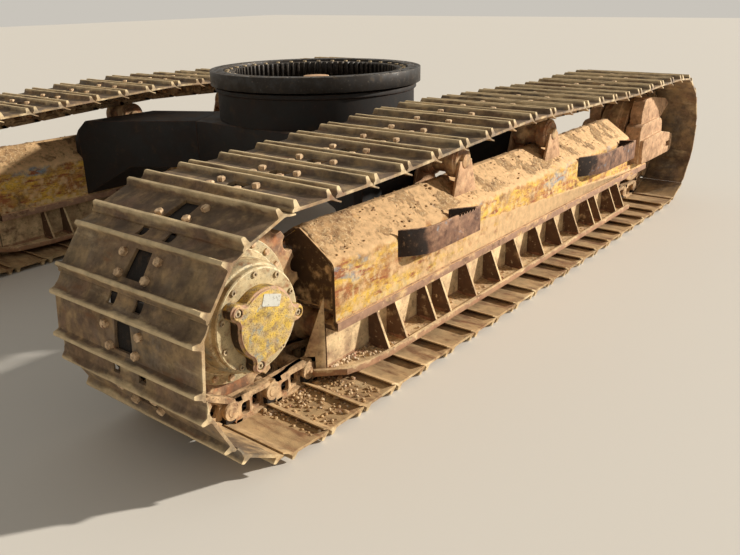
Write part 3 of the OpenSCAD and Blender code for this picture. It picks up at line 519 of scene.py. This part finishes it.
def softened(node, material, width, segments=2, angle=32, body=FIXED):
    """Copy of a CAD piece with its sharp edges broken, as worn steel has them"""
    bm = bmesh.new()
    bm.from_mesh(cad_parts[node].data)
    bmesh.ops.remove_doubles(bm, verts=bm.verts, dist=0.00002)
    bmesh.ops.dissolve_limit(bm, angle_limit=math.radians(1), verts=bm.verts, edges=bm.edges)
    sharp = [e for e in bm.edges if e.is_manifold and e.calc_face_angle(0) > math.radians(angle)]
    new = bmesh.ops.bevel(bm, geom=sharp, offset=width * MM, offset_type="OFFSET", segments=segments,
                          profile=0.5, affect="EDGES", clamp_overlap=True, material=-1)
    wear = bm.loops.layers.float.new("wear")
    for face in new["faces"]:
        for loop in face.loops:
            loop[wear] = 1.0
    piece = finished(bm, node + "_worn", material, body, angle=40)
    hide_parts(node)
    return piece


# Tracks


def shoe_outline():
    """Side view of one shoe: distance from the rear pin, distance out from the pins"""
    plate = PIN_TO_PLATE + PLATE_T
    tip = plate + GROUSER_H

    def grouser(x):
        return [(x - 15, plate), (x - 11.5, plate + 4), (x - 8, tip - 5), (x - 5, tip - 1),
                (x + 5, tip - 1), (x + 8, tip - 5), (x + 11.5, plate + 4), (x + 15, plate - 0.5)]
    rear_hook = [(9, PIN_TO_PLATE), (8.5, PIN_TO_PLATE + 5), (12, plate - 0.5)]
    lip_top = [(206, 62.5), (212, 56.3), (222, 50.5), (232, 46), (241, 42.5)]
    lip_under = [(240, 37.5), (230, 41), (219, 45.5), (210, 50), (202, 54.5), (194, PIN_TO_PLATE)]
    return rear_hook + grouser(REAR_GROUSER) + grouser(FRONT_GROUSER) + lip_top + lip_under


# Shoe, in millimetres from its rear pin and its middle: mud hole, lip cut out over the rails, cuts
# that let the grousers wear unevenly, depth of the rubbed tips
HOLE_FROM, HOLE_TO = 60, 160
HOLE_REAR_HALF, HOLE_FRONT_HALF = 48, 40
RELIEF_IN, RELIEF_OUT = 50, 86
LIP_FROM = 204
WEAR_CUTS = (140, 190, 240, 290, 335, 368)
RUBBED_TIP, UNEVEN_TIP = 10, 8
TIP_LOSS, TIP_UNEVEN, PLATE_UNEVEN = 1.2, 2.2, 0.8
# Shoe ends: how far they are drawn in, and more with the height over 70 mm, and their wear mark, partly
# rubbing and partly a painted highlight of the sunlit ends
END_SCALE, END_TAPER, END_TAPER_FROM, END_WEAR_AND_HIGHLIGHT = 0.994, 0.0009, 70, 0.25


def open_mud_hole(bm):
    """Takes the plate out between the mud hole's cuts"""
    hole = [f for f in bm.faces if HOLE_FROM < f.calc_center_median().x / MM < HOLE_TO
            and abs(f.calc_center_median().y) / MM < HOLE_FRONT_HALF / 2 and abs(f.normal.z) > 0.9]
    open_through(bm, hole)


def cut_lip(bm, s):
    """Takes the lip away over one rail and closes the shoe behind it"""
    relief = [f for f in bm.faces if f.calc_center_median().x / MM > LIP_FROM
              and RELIEF_IN < s * f.calc_center_median().y / MM < RELIEF_OUT]
    bmesh.ops.delete(bm, geom=relief, context="FACES")
    back = [e for e in bm.edges if e.is_boundary
            and all(abs(v.co.x / MM - LIP_FROM) < 0.01 for v in e.verts)]
    bmesh.ops.contextual_create(bm, geom=back)
    bmesh.ops.holes_fill(bm, edges=[e for e in bm.edges if e.is_boundary], sides=0)


def wear_shoe(bm, seed):
    """Marks a shoe's rubbed tips, and its ends as rubbed and lightened by a painted highlight, and wears
    tips and plate unevenly
    """
    wear = bm.verts.layers.float.new("wear")
    plate = PIN_TO_PLATE + PLATE_T
    tip = plate + GROUSER_H
    for v in bm.verts:
        height = v.co.z / MM
        v[wear] = max(0, (height - tip + RUBBED_TIP) / RUBBED_TIP)
        # shoe ends: rubbed, and lightened as a painted highlight of their sunlit faces
        if abs(v.co.y) / MM > SHOE_HALF - 1:
            v[wear] = max(v[wear], END_WEAR_AND_HIGHLIGHT)
            v.co.y *= END_SCALE - max(0, height - END_TAPER_FROM) * END_TAPER
        if height > tip - UNEVEN_TIP:
            rough = noise.noise(Vector((v.co.x * 9, v.co.y * 14, seed * 3.7)))
            v.co.z -= (TIP_LOSS + TIP_UNEVEN * abs(rough)) * MM
            v.co.x += TIP_LOSS * MM * rough
        elif height > plate - 2:
            v.co.z += PLATE_UNEVEN * MM * noise.noise(Vector((v.co.x * 12, v.co.y * 9, seed)))


def shoe_template(seed):
    """One shoe with its mud hole, its lip cut out over the rails, and its worn grouser tips"""
    bm = prism(shoe_outline(), -SHOE_HALF, SHOE_HALF)
    lean = (HOLE_REAR_HALF - HOLE_FRONT_HALF) / (HOLE_TO - HOLE_FROM)
    for s in (-1, 1):
        cut(bm, (HOLE_FROM, s * HOLE_REAR_HALF, 0), Vector((lean, s, 0)).normalized())
        for y in (RELIEF_IN, RELIEF_OUT, *WEAR_CUTS):
            cut(bm, (0, s * y, 0), (0, 1, 0))
    for x in (HOLE_FROM, HOLE_TO, LIP_FROM):
        cut(bm, (x, 0, 0), (1, 0, 0))
    open_mud_hole(bm)
    for s in (-1, 1):
        cut_lip(bm, s)
    bmesh.ops.recalc_face_normals(bm, faces=bm.faces)
    wear_shoe(bm, seed)
    return as_mesh(bm, f"shoe_{seed}")


def clod_template(seed):
    """Lump of earth or a pebble, a little flattened, with a radius of one millimetre"""
    bm = bmesh.new()
    bmesh.ops.create_icosphere(bm, subdivisions=1, radius=MM)
    for v in bm.verts:
        v.co *= 1 + 0.35 * noise.noise(v.co.normalized() * 1.3 + Vector((seed * 5.1, 0, 0)))
        v.co.z *= 0.7
    return as_mesh(bm, f"clod_{seed}")


# Packed earth, dark as painted shade of the gaps, in millimetres in a link's frame: size and middle of the
# block between the plates and of the one behind the shoe's lip, height over which the first one's top is
# uneven, and by how much
PACKED, PACKED_AT = (112, 98, 14), (108, 0, 46)
BEHIND_LIP, BEHIND_LIP_AT = (46, 188, 24), (212, 0, 30)
LUMPY_FROM, LUMPY = 50, 6


def sized(corner, size, middle):
    """Corner of a unit cube moved to its place in a block of a size about a middle"""
    return Vector([c * length + m for c, length, m in zip(corner, size, middle)]) * MM


def packed_earth_template(seed):
    """Earth pressed between the link plates, dark as painted shade where it is seen through a shoe's mud
    hole and beside its lip
    """
    bm = bmesh.new()
    bmesh.ops.create_cube(bm, size=1)
    bmesh.ops.subdivide_edges(bm, edges=bm.edges, cuts=2, use_grid_fill=True)
    for v in bm.verts:
        v.co = sized(v.co, PACKED, PACKED_AT)
        if v.co.z > LUMPY_FROM * MM:
            v.co.z += LUMPY * MM * noise.noise(v.co * 30 + Vector((seed * 2.3, 0, 0)))
    behind_lip = bmesh.ops.create_cube(bm, size=1)["verts"]
    for v in behind_lip:
        v.co = sized(v.co, BEHIND_LIP, BEHIND_LIP_AT)
    return as_mesh(bm, f"packed_earth_and_shade_{seed}")


# Shoe bolts: places from the rear pin and the shoe's middle, width over flats, head height and the
# least and most that a head is sunk, in millimetres; the right track has lost one bolt of one shoe
BOLTS = ((68, 68), (68, -68), (136, 88), (136, -88))
BOLT_FLATS, BOLT_H = 27, 17
BOLT_SUNK = (0.5, 2.5)
BARE_HOLE = (48, 2)
FLATS_TO_CORNER = 0.577


def bolt_template(flats, height):
    """Hexagon head with its top corners turned off"""
    bm = bmesh.new()
    bmesh.ops.create_cone(bm, cap_ends=True, segments=6, radius1=flats * FLATS_TO_CORNER * MM,
                          radius2=flats * FLATS_TO_CORNER * MM, depth=height * MM)
    top = [e for e in bm.edges if all(v.co.z > 0 for v in e.verts)]
    bmesh.ops.bevel(bm, geom=top, offset=height * 0.16 * MM, offset_type="OFFSET", segments=1,
                    profile=0.5, affect="EDGES", clamp_overlap=True, material=-1)
    bmesh.ops.translate(bm, verts=bm.verts, vec=(0, 0, height / 2 * MM))
    return as_mesh(bm, "bolt")


def cap_screw_template(radius, height):
    """Round head with a rounded rim and a socket in its top"""
    bm = bmesh.new()
    bmesh.ops.create_cone(bm, cap_ends=True, segments=16, radius1=radius * MM, radius2=radius * MM,
                          depth=height * MM)
    top = [f for f in bm.faces if f.normal.z > 0.9]
    rim = [e for f in top for e in f.edges]
    bmesh.ops.inset_region(bm, faces=top, thickness=radius * 0.5 * MM, use_even_offset=True)
    socket = bmesh.ops.extrude_face_region(bm, geom=top)["geom"]
    bmesh.ops.delete(bm, geom=top, context="FACES_ONLY")
    bmesh.ops.translate(bm, verts=[g for g in socket if isinstance(g, bmesh.types.BMVert)],
                        vec=(0, 0, -height * 0.6 * MM))
    bmesh.ops.bevel(bm, geom=rim, offset=radius * 0.1 * MM, offset_type="OFFSET", segments=1,
                    profile=0.5, affect="EDGES", clamp_overlap=True, material=-1)
    bmesh.ops.translate(bm, verts=bm.verts, vec=(0, 0, height / 2 * MM))
    return as_mesh(bm, "cap_screw")


# Links, in millimetres from the rear pin, the chain's middle and the pins' height: plate with its bend
# towards the front pin, its two windows, pin bosses, pin ends, pin and bushing
LINK_IN, LINK_OUT = 52, 71.5
REAR_BOSS_R, FRONT_BOSS_R = 37, 36
LINK_BEND, BEND_FROM, BEND_L = 20.5, 80, 45
WINDOWS = ((46, 92), (112, 158))
WINDOW_LOW, WINDOW_HIGH, WINDOW_ROUND, WINDOW_NEAR = -14, 36, 11, 5
PAD_FROM, PAD_TO, PAD_LOW = 30, 184, 46
BOSS_R, BOSS_TIP_R, BOSS_IN, BOSS_OUT = 38, 34, 90, 96
PIN_END_R, PIN_END_TIP_R, PIN_END_IN, PIN_END_OUT = 22, 18, 95.5, 98.5
PIN_BODY_R, PIN_HALF, BUSHING_HALF = 21, 93, 52


def link_outline():
    """Side view of a link plate: boss, rail, boss and the pad under the shoe"""
    rear = [(REAR_BOSS_R * math.cos(math.radians(a)), REAR_BOSS_R * math.sin(math.radians(a)))
            for a in (75, 110, 145, 180, 215)]
    front = [(PITCH + FRONT_BOSS_R * math.cos(math.radians(a)), FRONT_BOSS_R * math.sin(math.radians(a)))
             for a in (-50, -20, 10, 40, 75, 105)]
    return (rear + [(-14, -RAIL_TOP), (190, -RAIL_TOP)] + front
            + [(186, PIN_TO_PLATE), (28, PIN_TO_PLATE), (22, 42)])


def link_plate():
    """One plate of a link with its two windows, bent outwards towards the front pin"""
    bm = prism(link_outline(), LINK_IN, LINK_OUT)
    for x in WINDOWS[0] + WINDOWS[1]:
        cut(bm, (x, 0, 0), (1, 0, 0))
    for z in (WINDOW_LOW, WINDOW_HIGH):
        cut(bm, (0, 0, z), (0, 0, 1))
    for x0, x1 in WINDOWS:
        window = [f for f in bm.faces if abs(f.normal.y) > 0.9
                  and x0 < f.calc_center_median().x / MM < x1
                  and WINDOW_LOW < f.calc_center_median().z / MM < WINDOW_HIGH]
        open_through(bm, window)
    left, right = WINDOWS[0][0] - WINDOW_NEAR, WINDOWS[1][1] + WINDOW_NEAR
    low, high = WINDOW_LOW - WINDOW_NEAR, WINDOW_HIGH + WINDOW_NEAR
    corners = [e for e in bm.edges if abs(e.verts[0].co.y - e.verts[1].co.y) > (LINK_OUT - LINK_IN) / 2 * MM
               and left < e.verts[0].co.x / MM < right and low < e.verts[0].co.z / MM < high]
    bmesh.ops.bevel(bm, geom=corners, offset=WINDOW_ROUND * MM, offset_type="OFFSET", segments=2,
                    profile=0.5, affect="EDGES", clamp_overlap=True, material=-1)
    for v in bm.verts:
        v.co.y += LINK_BEND * MM * min(1, max(0, (v.co.x / MM - BEND_FROM) / BEND_L))
    bmesh.ops.recalc_face_normals(bm, faces=bm.faces)
    return bm


def link_template():
    """Both plates of one link with their rail heads, pads and bosses, its pin and its bushing"""
    whole = bmesh.new()
    head = [(12, -RAIL_TOP), (188, -RAIL_TOP), (184, -34), (170, -26), (30, -26), (16, -34)]
    pad = [(PAD_FROM, PIN_TO_PLATE), (PAD_FROM, PAD_LOW), (PAD_TO, PAD_LOW), (PAD_TO, PIN_TO_PLATE)]
    for s in (-1, 1):
        for part in (link_plate(), prism(head, RAIL_IN, RAIL_OUT), prism(pad, RAIL_IN + 2, RAIL_OUT),
                     cylinder(BOSS_R, BOSS_IN, BOSS_OUT, 20, tip=BOSS_TIP_R),
                     cylinder(PIN_END_R, PIN_END_IN, PIN_END_OUT, 14, tip=PIN_END_TIP_R)):
            stamp_once(whole, part, Matrix.Scale(s, 4, (0, 1, 0)))
    for part in (cylinder(BUSHING_R, -BUSHING_HALF, BUSHING_HALF, 18),
                 cylinder(PIN_BODY_R, -PIN_HALF, PIN_HALF, 12)):
        stamp_once(whole, part, Matrix.Identity(4))
    bmesh.ops.recalc_face_normals(whole, faces=whole.faces)
    return as_mesh(whole, "link")


# Play of the shoes on their links: sideways, in and out in millimetres, turned in degrees
SHOE_SIDEWAYS, SHOE_IN, SHOE_OUT, SHOE_TURN = 1.5, -1.0, 0.2, 0.15
SHOE_SHAPES, PACKED_SHAPES = 5, 4


def build_track(side):
    """Shoes, chain, bolts and packed earth, dark as painted shade, of one track, set along its chain path
    """
    chance = random.Random(side)
    shoes, chain, bolts, packing = bmesh.new(), bmesh.new(), bmesh.new(), bmesh.new()
    shapes = [shoe_template(k) for k in range(SHOE_SHAPES)]
    packings = [packed_earth_template(k) for k in range(PACKED_SHAPES)]
    link, bolt = link_template(), bolt_template(BOLT_FLATS, BOLT_H)
    plate = PIN_TO_PLATE + PLATE_T
    for i in range(LINKS):
        place = link_place(i, side)
        play = Matrix.Translation((0, chance.uniform(-SHOE_SIDEWAYS, SHOE_SIDEWAYS) * MM,
                                   chance.uniform(SHOE_IN, SHOE_OUT) * MM))
        lean = Matrix.Rotation(math.radians(chance.uniform(-SHOE_TURN, SHOE_TURN)), 4, "Z")
        shape = shapes[chance.randrange(SHOE_SHAPES)]
        stamp(shoes, shape, place @ play @ lean)
        stamp(chain, link, place)
        stamp(packing, packings[chance.randrange(PACKED_SHAPES)], place)
        for k, (x, y) in enumerate(BOLTS):
            if (i, k) == BARE_HOLE and side == "right":
                continue
            turn = Matrix.Rotation(chance.uniform(0, 1), 4, "Z")
            seat = Vector((x, y, plate - chance.uniform(*BOLT_SUNK))) * MM
            stamp(bolts, bolt, place @ Matrix.Translation(seat) @ turn)
    track = finished(shoes, side + "_shoes", shoe_steel, angle=50)
    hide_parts(side + "_track")
    finished(chain, side + "_chain", link_steel)
    finished(bolts, side + "_shoe_bolts", bolt_steel, angle=20)
    finished(packing, side + "_packed_earth_and_shade", packed_earth_and_shade, angle=60)


# Final drives


def on_drive(side, out):
    """Matrix of the drive's outer side: x forward, y up, z out, from the axle at a distance out"""
    s = -1 if side == "right" else 1
    turn = Matrix(((1, 0, 0), (0, 0, s), (0, 1, 0))).to_4x4()
    return Matrix.Translation(Vector((REAR_X, side_y(side) + s * out, AXLE_Z)) * MM) @ turn


def around(radius, degrees):
    """Shift from an axis to a point on a ring about it"""
    a = math.radians(degrees)
    return Matrix.Translation(Vector((radius * math.cos(a), radius * math.sin(a), 0)) * MM)


# Drive's faces, in millimetres out from the track's middle, and its fasteners: how many, how far from
# the axle and from which angle; the cover's three screws sit in sinkings of its lobes
DRIVE_FACE = abs(drive_low[1] / MM - TRACK_Y)
COVER_FACE = abs(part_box("right_drive_cover")[0][1] / MM - TRACK_Y)
FLANGE_FACE = 51.5
COVER_TURN, COVER_SPREAD, COVER_LOBE_AT, COVER_SINKING = 252, 104, 149, 15
FACE_SCREWS, FACE_SCREW_AT, FACE_SCREW_TURN = 10, 169.5, 55.8
FLANGE_BOLTS, FLANGE_BOLT_AT, FLANGE_BOLT_TURN = 20, 247, 9
HEAD_SUNK = 1


def build_drive_fasteners(side):
    """Cap screws of the housing's face ring and cover, hexagon bolts of the flange"""
    screws, bolts = bmesh.new(), bmesh.new()
    cap, lobe_cap, hexagon = cap_screw_template(11, 8), cap_screw_template(13, 11), bolt_template(24, 9)
    for k in range(FACE_SCREWS):
        place = around(FACE_SCREW_AT, FACE_SCREW_TURN + k * 360 / FACE_SCREWS)
        stamp(screws, cap, on_drive(side, DRIVE_FACE - HEAD_SUNK) @ place)
    for turn in (-COVER_SPREAD, 0, COVER_SPREAD):
        place = around(COVER_LOBE_AT, COVER_TURN + turn)
        stamp(screws, lobe_cap, on_drive(side, COVER_FACE - COVER_SINKING) @ place)
    for k in range(FLANGE_BOLTS):
        place = around(FLANGE_BOLT_AT, FLANGE_BOLT_TURN + k * 360 / FLANGE_BOLTS)
        stamp(bolts, hexagon, on_drive(side, FLANGE_FACE - HEAD_SUNK) @ place)
    finished(screws, side + "_drive_screws", screw_steel)
    finished(bolts, side + "_flange_bolts", bolt_steel, angle=20)


# Data plate on the cover, in millimetres and degrees: size, corner, place, lean and its two rivets
DATA_PLATE, DATA_PLATE_CORNER = (84, 44, 1.6), 4
DATA_PLATE_AT, DATA_PLATE_LEAN = (21, 80, 0), -18
RIVET_R, RIVET_AT = 3, 37


def build_data_plate(side):
    """Blank plate held by two rivets on the drive cover"""
    bm = bmesh.new()
    bmesh.ops.create_cube(bm, size=1)
    bmesh.ops.scale(bm, vec=[length * MM for length in DATA_PLATE], verts=bm.verts)
    corners = [e for e in bm.edges if abs(e.verts[0].co.z - e.verts[1].co.z) > MM]
    bmesh.ops.bevel(bm, geom=corners, offset=DATA_PLATE_CORNER * MM, offset_type="OFFSET", segments=2,
                    profile=0.5, affect="EDGES", clamp_overlap=True, material=-1)
    rivet = bmesh.new()
    bmesh.ops.create_uvsphere(rivet, u_segments=8, v_segments=5, radius=RIVET_R * MM)
    head, plate = as_mesh(rivet, "rivet"), as_mesh(bm, "data_plate")
    turn = Matrix.Rotation(math.radians(DATA_PLATE_LEAN), 4, "Z")
    place = on_drive(side, COVER_FACE + 1) @ Matrix.Translation(Vector(DATA_PLATE_AT) * MM) @ turn
    whole = bmesh.new()
    stamp(whole, plate, place)
    for x in (-RIVET_AT, RIVET_AT):
        stamp(whole, head, place @ Matrix.Translation((x * MM, 0, 0)))
    finished(whole, side + "_data_plate", plate_metal, angle=30)


# Weld along the frame's foot, in millimetres: length of a step, half sizes of a drop, start of the
# bead, and how far its middle lies out of the wall and over the strip
BEAD_STEP, BEAD_DROP, BEAD_START, BEAD_OUT = 9, (7, 6.5, 6.5), 6, 1


def build_weld(side):
    """Bead laid in overlapping drops along the top of the frame's flange strip"""
    bm, drop = bmesh.new(), clod_template(9)
    shape = Matrix.Diagonal((*BEAD_DROP, 1))
    for k in range(int((STRIP_END - FRAME_REAR) / BEAD_STEP)):
        for t in (-1, 1):
            place = Vector((FRAME_REAR + BEAD_START + k * BEAD_STEP,
                            side_y(side) + t * (FRAME_HALF + BEAD_OUT), STRIP_TOP + BEAD_OUT))
            stamp(bm, drop, Matrix.Translation(place * MM) @ shape)
    finished(bm, side + "_strip_weld", casting, angle=60)


# Screws of the slewing ring's inner race: how many, their ring's radius and how far they are sunk
RACE_SCREWS, RACE_SCREW_AT, RACE_SCREW_SUNK = 36, 549, 2


def build_race_screws():
    """Cap screws in the inner race's top, in a ring about the slewing axis"""
    bm, screw = bmesh.new(), cap_screw_template(13, 10)
    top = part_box("slew_inner_race")[1][2] / MM
    up = Matrix.Translation((0, 0, (top - RACE_SCREW_SUNK) * MM))
    for k in range(RACE_SCREWS):
        stamp(bm, screw, up @ around(RACE_SCREW_AT, k * 360 / RACE_SCREWS))
    finished(bm, "inner_race_screws", screw_steel)


# Sand, in millimetres: the steps of its grid, its edge inside the roof's outline, its skirt, the most
# that a drift rises, and how far the ledge's sand goes on past the roof's front end
ROOF_STEP, LEDGE_STEP = 12, 14
SAND_MARGIN, SAND_SKIRT, SAND_MOST = 8, 5, 6
LEDGE_PAST_ROOF = 100
# Clods and pebbles: how many, and how many of the ledge's are heaped at its rear end
ROOF_CLODS, LEDGE_PEBBLES, SHOE_CLODS, HEAPED = 260, 300, 420, 200
CLOD_SHAPES = 6
# Where they lie, in millimetres: half width on the roof, length of the ledge's heap, and on the lower
# shoes from the sprocket's axle forward and from the track's middle out
CLODS_HALF, HEAP_L = 165, 330
SHOES_FROM, SHOES_L, SHOES_IN, SHOES_W = 40, 420, 104, 255


def roof_z(y):
    """Height of the frame's roof at a distance from the track's middle"""
    return RIDGE_Z - max(0, abs(y) - RIDGE_HALF) * ROOF_FALL


def heap(x0, x1, y0, y1, step, top, name, side):
    """Closed sheet of loose earth: its top follows a height, its skirt sinks into the steel"""
    bm = bmesh.new()
    bmesh.ops.create_grid(bm, x_segments=round((x1 - x0) / step), y_segments=round((y1 - y0) / step),
                          size=0.5)
    for v in bm.verts:
        x, y = (x0 + x1) / 2 + v.co.x * (x1 - x0), (y0 + y1) / 2 + v.co.y * (y1 - y0)
        v.co = Vector((x, side_y(side) + y, top(x, y))) * MM
    under = bmesh.ops.extrude_face_region(bm, geom=bm.faces[:])["geom"]
    bmesh.ops.translate(bm, verts=[g for g in under if isinstance(g, bmesh.types.BMVert)],
                        vec=(0, 0, -SAND_SKIRT * MM))
    bmesh.ops.recalc_face_normals(bm, faces=bm.faces)
    finished(bm, name, earth, angle=80)


def ripple(x, y, size, seed):
    """Noise from -1 to 1 with features of a size in millimetres"""
    return noise.fractal(Vector((x / size, y / size, seed)), 1.0, 2.0, 4)


def roof_top(x, y):
    """Top of the roof's sand: drifts with small ripples, falling away at the roof's edges"""
    cover = 9 * ripple(x, y, 120, 1.7) + 4 * ripple(x, y, 22, 4.2)
    return roof_z(y) + min(SAND_MOST, cover) - 60 * max(0, abs(y) / FRAME_HALF - 0.8)


def ledge_top(x, y):
    """Top of the ledge's sand: banked up against the guard's wall"""
    lean = (LEDGE_EDGE - abs(y)) / (LEDGE_EDGE - LEDGE_WALL)
    return LEDGE_Z - 4 + 12 * max(0, lean) ** 1.6 + 6 * ripple(x, y, 70, 8.1)


def ledge_width(x):
    """Width of the ledge, which narrows towards the frame's rear end"""
    share = (x - REAR_X - LEDGE_START) / (LEDGE_FULL - LEDGE_START)
    return (LEDGE_EDGE - LEDGE_WALL) * min(1, max(LEDGE_LEAST, share))


def build_sand(side):
    """Sand on the frame's roof and on the guard's ledges"""
    half = FRAME_HALF - SAND_MARGIN
    heap(FRAME_REAR + SAND_MARGIN, ROOF_FRONT, -half, half, ROOF_STEP, roof_top, side + "_roof_sand", side)
    for k, t in enumerate((-1, 1)):
        low, high = sorted((t * LEDGE_WALL, t * (LEDGE_EDGE - 2)))
        heap(REAR_X + LEDGE_FULL, ROOF_FRONT + LEDGE_PAST_ROOF, low, high, LEDGE_STEP, ledge_top,
             f"{side}_ledge_sand_{k}", side)


def clod_place(x, y, z, size, chance):
    """Place, turn and size of one lump, in millimetres"""
    spin = Matrix.Rotation(chance.uniform(0, 6.28), 4, "Z")
    lean = Matrix.Rotation(chance.uniform(-0.5, 0.5), 4, "X")
    return Matrix.Translation(Vector((x, y, z)) * MM) @ spin @ lean @ Matrix.Scale(size, 4)


def on_roof(side, chance):
    """Place of a clod on the roof, more of them towards the rear"""
    x = FRAME_REAR + 20 + (ROOF_FRONT - FRAME_REAR - 40) * chance.random() ** 1.3
    y = chance.uniform(-CLODS_HALF, CLODS_HALF)
    size = chance.uniform(2.5, 6) * (2.2 if chance.random() < 0.08 else 1)
    return clod_place(x, side_y(side) + y, roof_z(y) + 3, size, chance)


def on_ledge(side, k, chance):
    """Place of a pebble on the outer ledge, the first ones in a heap at its rear end"""
    s = -1 if side == "right" else 1
    if k < HEAPED:
        x = FRAME_REAR + 15 + HEAP_L * chance.random() ** 1.3
    else:
        x = chance.uniform(FRAME_REAR + 40, ROOF_FRONT)
    y = s * (LEDGE_WALL + 5 + (ledge_width(x) - 14) * chance.random() ** 2.4)
    size = chance.uniform(3, 9)
    return clod_place(x, side_y(side) + y, LEDGE_Z + size * 0.5, size, chance)


def on_lower_shoes(side, chance):
    """Place of a clod on the inner faces of the lower shoes beside the sprocket"""
    s = -1 if side == "right" else 1
    x = REAR_X + SHOES_FROM + SHOES_L * chance.random() ** 1.2
    y = s * (SHOES_IN + SHOES_W * chance.random() ** 1.8)
    size = chance.uniform(3, 10) * (1.7 if chance.random() < 0.06 else 1)
    return clod_place(x, side_y(side) + y, INNER_SHOE_Z + size * 0.3, size, chance)


def build_clods(side):
    """Clods and pebbles on the roof, the outer ledge and the lower shoes"""
    chance = random.Random(side + "dirt")
    clods = [clod_template(k) for k in range(CLOD_SHAPES)]
    lumps, stones = bmesh.new(), bmesh.new()
    for k in range(ROOF_CLODS):
        stamp(lumps, clods[k % CLOD_SHAPES], on_roof(side, chance))
    for k in range(LEDGE_PEBBLES):
        stamp(stones, clods[k % CLOD_SHAPES], on_ledge(side, k, chance))
    for k in range(SHOE_CLODS):
        stamp(stones if k % 4 == 0 else lumps, clods[k % CLOD_SHAPES], on_lower_shoes(side, chance))
    finished(lumps, side + "_clods", earth, angle=60)
    finished(stones, side + "_pebbles", pebble, angle=60)


# Whole undercarriage: a worn copy of each CAD piece with its broken edges' width in
# millimetres, and the pieces that only the scene has

for side in SIDES:
    build_track(side)
    softened(side + "_sprocket", worn_iron, 3)
    softened(side + "_final_drive", housing_paint, 3)
    softened(side + "_drive_cover", cover_enamel, 5, segments=3)
    softened(side + "_travel_motor", body_paint_and_shade, 3)
    softened(side + "_track_frame", frame_paint, 2.5)
    softened(side + "_roller_guard", guard_plate, 1.5)
    softened(side + "_bottom_rollers", worn_iron, 2)
    softened(side + "_carrier_brackets", casting, 2)
    softened(side + "_carrier_rollers", worn_iron, 2)
    softened(side + "_idler", worn_iron, 3)
    softened(side + "_idler_blocks", casting, 6)
    softened(side + "_recoil_yoke", worn_iron, 3)
    softened(side + "_rear_step", step_plate, 1.5)
    softened(side + "_front_step", step_plate, 1.5)
    build_drive_fasteners(side)
    build_data_plate(side)
    build_weld(side)
    build_sand(side)
    build_clods(side)

softened("car_body", body_paint_and_shade, 4)
softened("car_body_floor", body_paint_and_shade, 2)
softened("car_body_legs", body_paint_and_shade, 4)
softened("slew_pedestal", body_paint_and_shade, 2)
softened("slew_inner_race", race_steel, 1.5)
softened("slew_outer_race", race_steel, 2, body=TURNING)
softened("oil_swivel", casting, 3)
build_race_screws()


# Floor, light and camera


def build_floor():
    """Plain pale floor"""
    bm = bmesh.new()
    bmesh.ops.create_grid(bm, x_segments=1, y_segments=1, size=40)
    mesh = as_mesh(bm, "floor")
    material = bpy.data.materials.new("pale_floor")
    material.use_nodes = True
    shader = material.node_tree.nodes["Principled BSDF"]
    shader.inputs["Base Color"].default_value = linear("#d8d3ca")
    shader.inputs["Roughness"].default_value = 0.85
    mesh.materials.append(material)
    floor = bpy.data.objects.new("floor", mesh)
    bpy.context.scene.collection.objects.link(floor)


# Low sun from the front right, as the photograph's shadows have it
TOWARDS_SUN = (0.66, -0.60, 0.36)


def build_light():
    """Warm low sun under an even pale sky"""
    sun = bpy.data.lights.new("key", "SUN")
    sun.energy = 5.5
    sun.angle = math.radians(2)
    sun.color = (1.0, 0.94, 0.85)
    key = bpy.data.objects.new("key", sun)
    key.rotation_euler = Vector(TOWARDS_SUN).to_track_quat("Z", "Y").to_euler()
    bpy.context.scene.collection.objects.link(key)
    world = bpy.data.worlds.new("studio")
    world.use_nodes = True
    tree = world.node_tree
    tree.nodes.clear()
    path = add(tree, "LightPath")
    seen = add(tree, "Math", {0: path.outputs["Is Camera Ray"], 1: path.outputs["Is Glossy Ray"]},
               operation="MAXIMUM").outputs[0]
    seen = add(tree, "Math", {0: seen, 1: path.outputs["Is Transmission Ray"]},
               operation="MAXIMUM").outputs[0]
    sky = add(tree, "Background", {"Color": linear("#f4efe6"), "Strength": 0.38}).outputs[0]
    backdrop = add(tree, "Background", {"Color": linear("#c9c4bb"), "Strength": 1.0}).outputs[0]
    mixed = add(tree, "MixShader", {0: seen, 1: sky, 2: backdrop}).outputs[0]
    add(tree, "OutputWorld", {"Surface": mixed})
    bpy.context.scene.world = world


# Camera solved from the photograph: place from the right sprocket's axle and the track's middle
CAMERA_AT = Vector((REAR_X - 1588.9, TRACK_Y - 1917.1, AXLE_Z + 1041.6)) * MM
CAMERA_TURN, CAMERA_TILT, CAMERA_ROLL = math.radians(38.238), math.radians(-20.972), math.radians(-0.902)
FOCAL_PX, FRAME_PX, SENSOR_MM = 743.2, 740, 36


def build_camera():
    """Camera at the photograph's place, with its lens, turn, tilt and slight roll"""
    data = bpy.data.cameras.new("view")
    data.sensor_width = SENSOR_MM
    data.sensor_fit = "HORIZONTAL"
    data.lens = FOCAL_PX / FRAME_PX * SENSOR_MM
    data.clip_end = 200
    ahead = Vector((math.cos(CAMERA_TILT) * math.cos(CAMERA_TURN),
                    math.cos(CAMERA_TILT) * math.sin(CAMERA_TURN), math.sin(CAMERA_TILT)))
    level = ahead.cross(Vector((0, 0, 1))).normalized()
    upright = level.cross(ahead)
    right = level * math.cos(CAMERA_ROLL) + upright * math.sin(CAMERA_ROLL)
    up = upright * math.cos(CAMERA_ROLL) - level * math.sin(CAMERA_ROLL)
    camera = bpy.data.objects.new("view", data)
    turn = Matrix((right, up, -ahead)).transposed().to_4x4()
    camera.matrix_world = Matrix.Translation(CAMERA_AT) @ turn
    bpy.context.scene.collection.objects.link(camera)
    bpy.context.scene.camera = camera


build_floor()
build_light()
build_camera()
bpy.context.scene.view_settings.view_transform = "Standard"
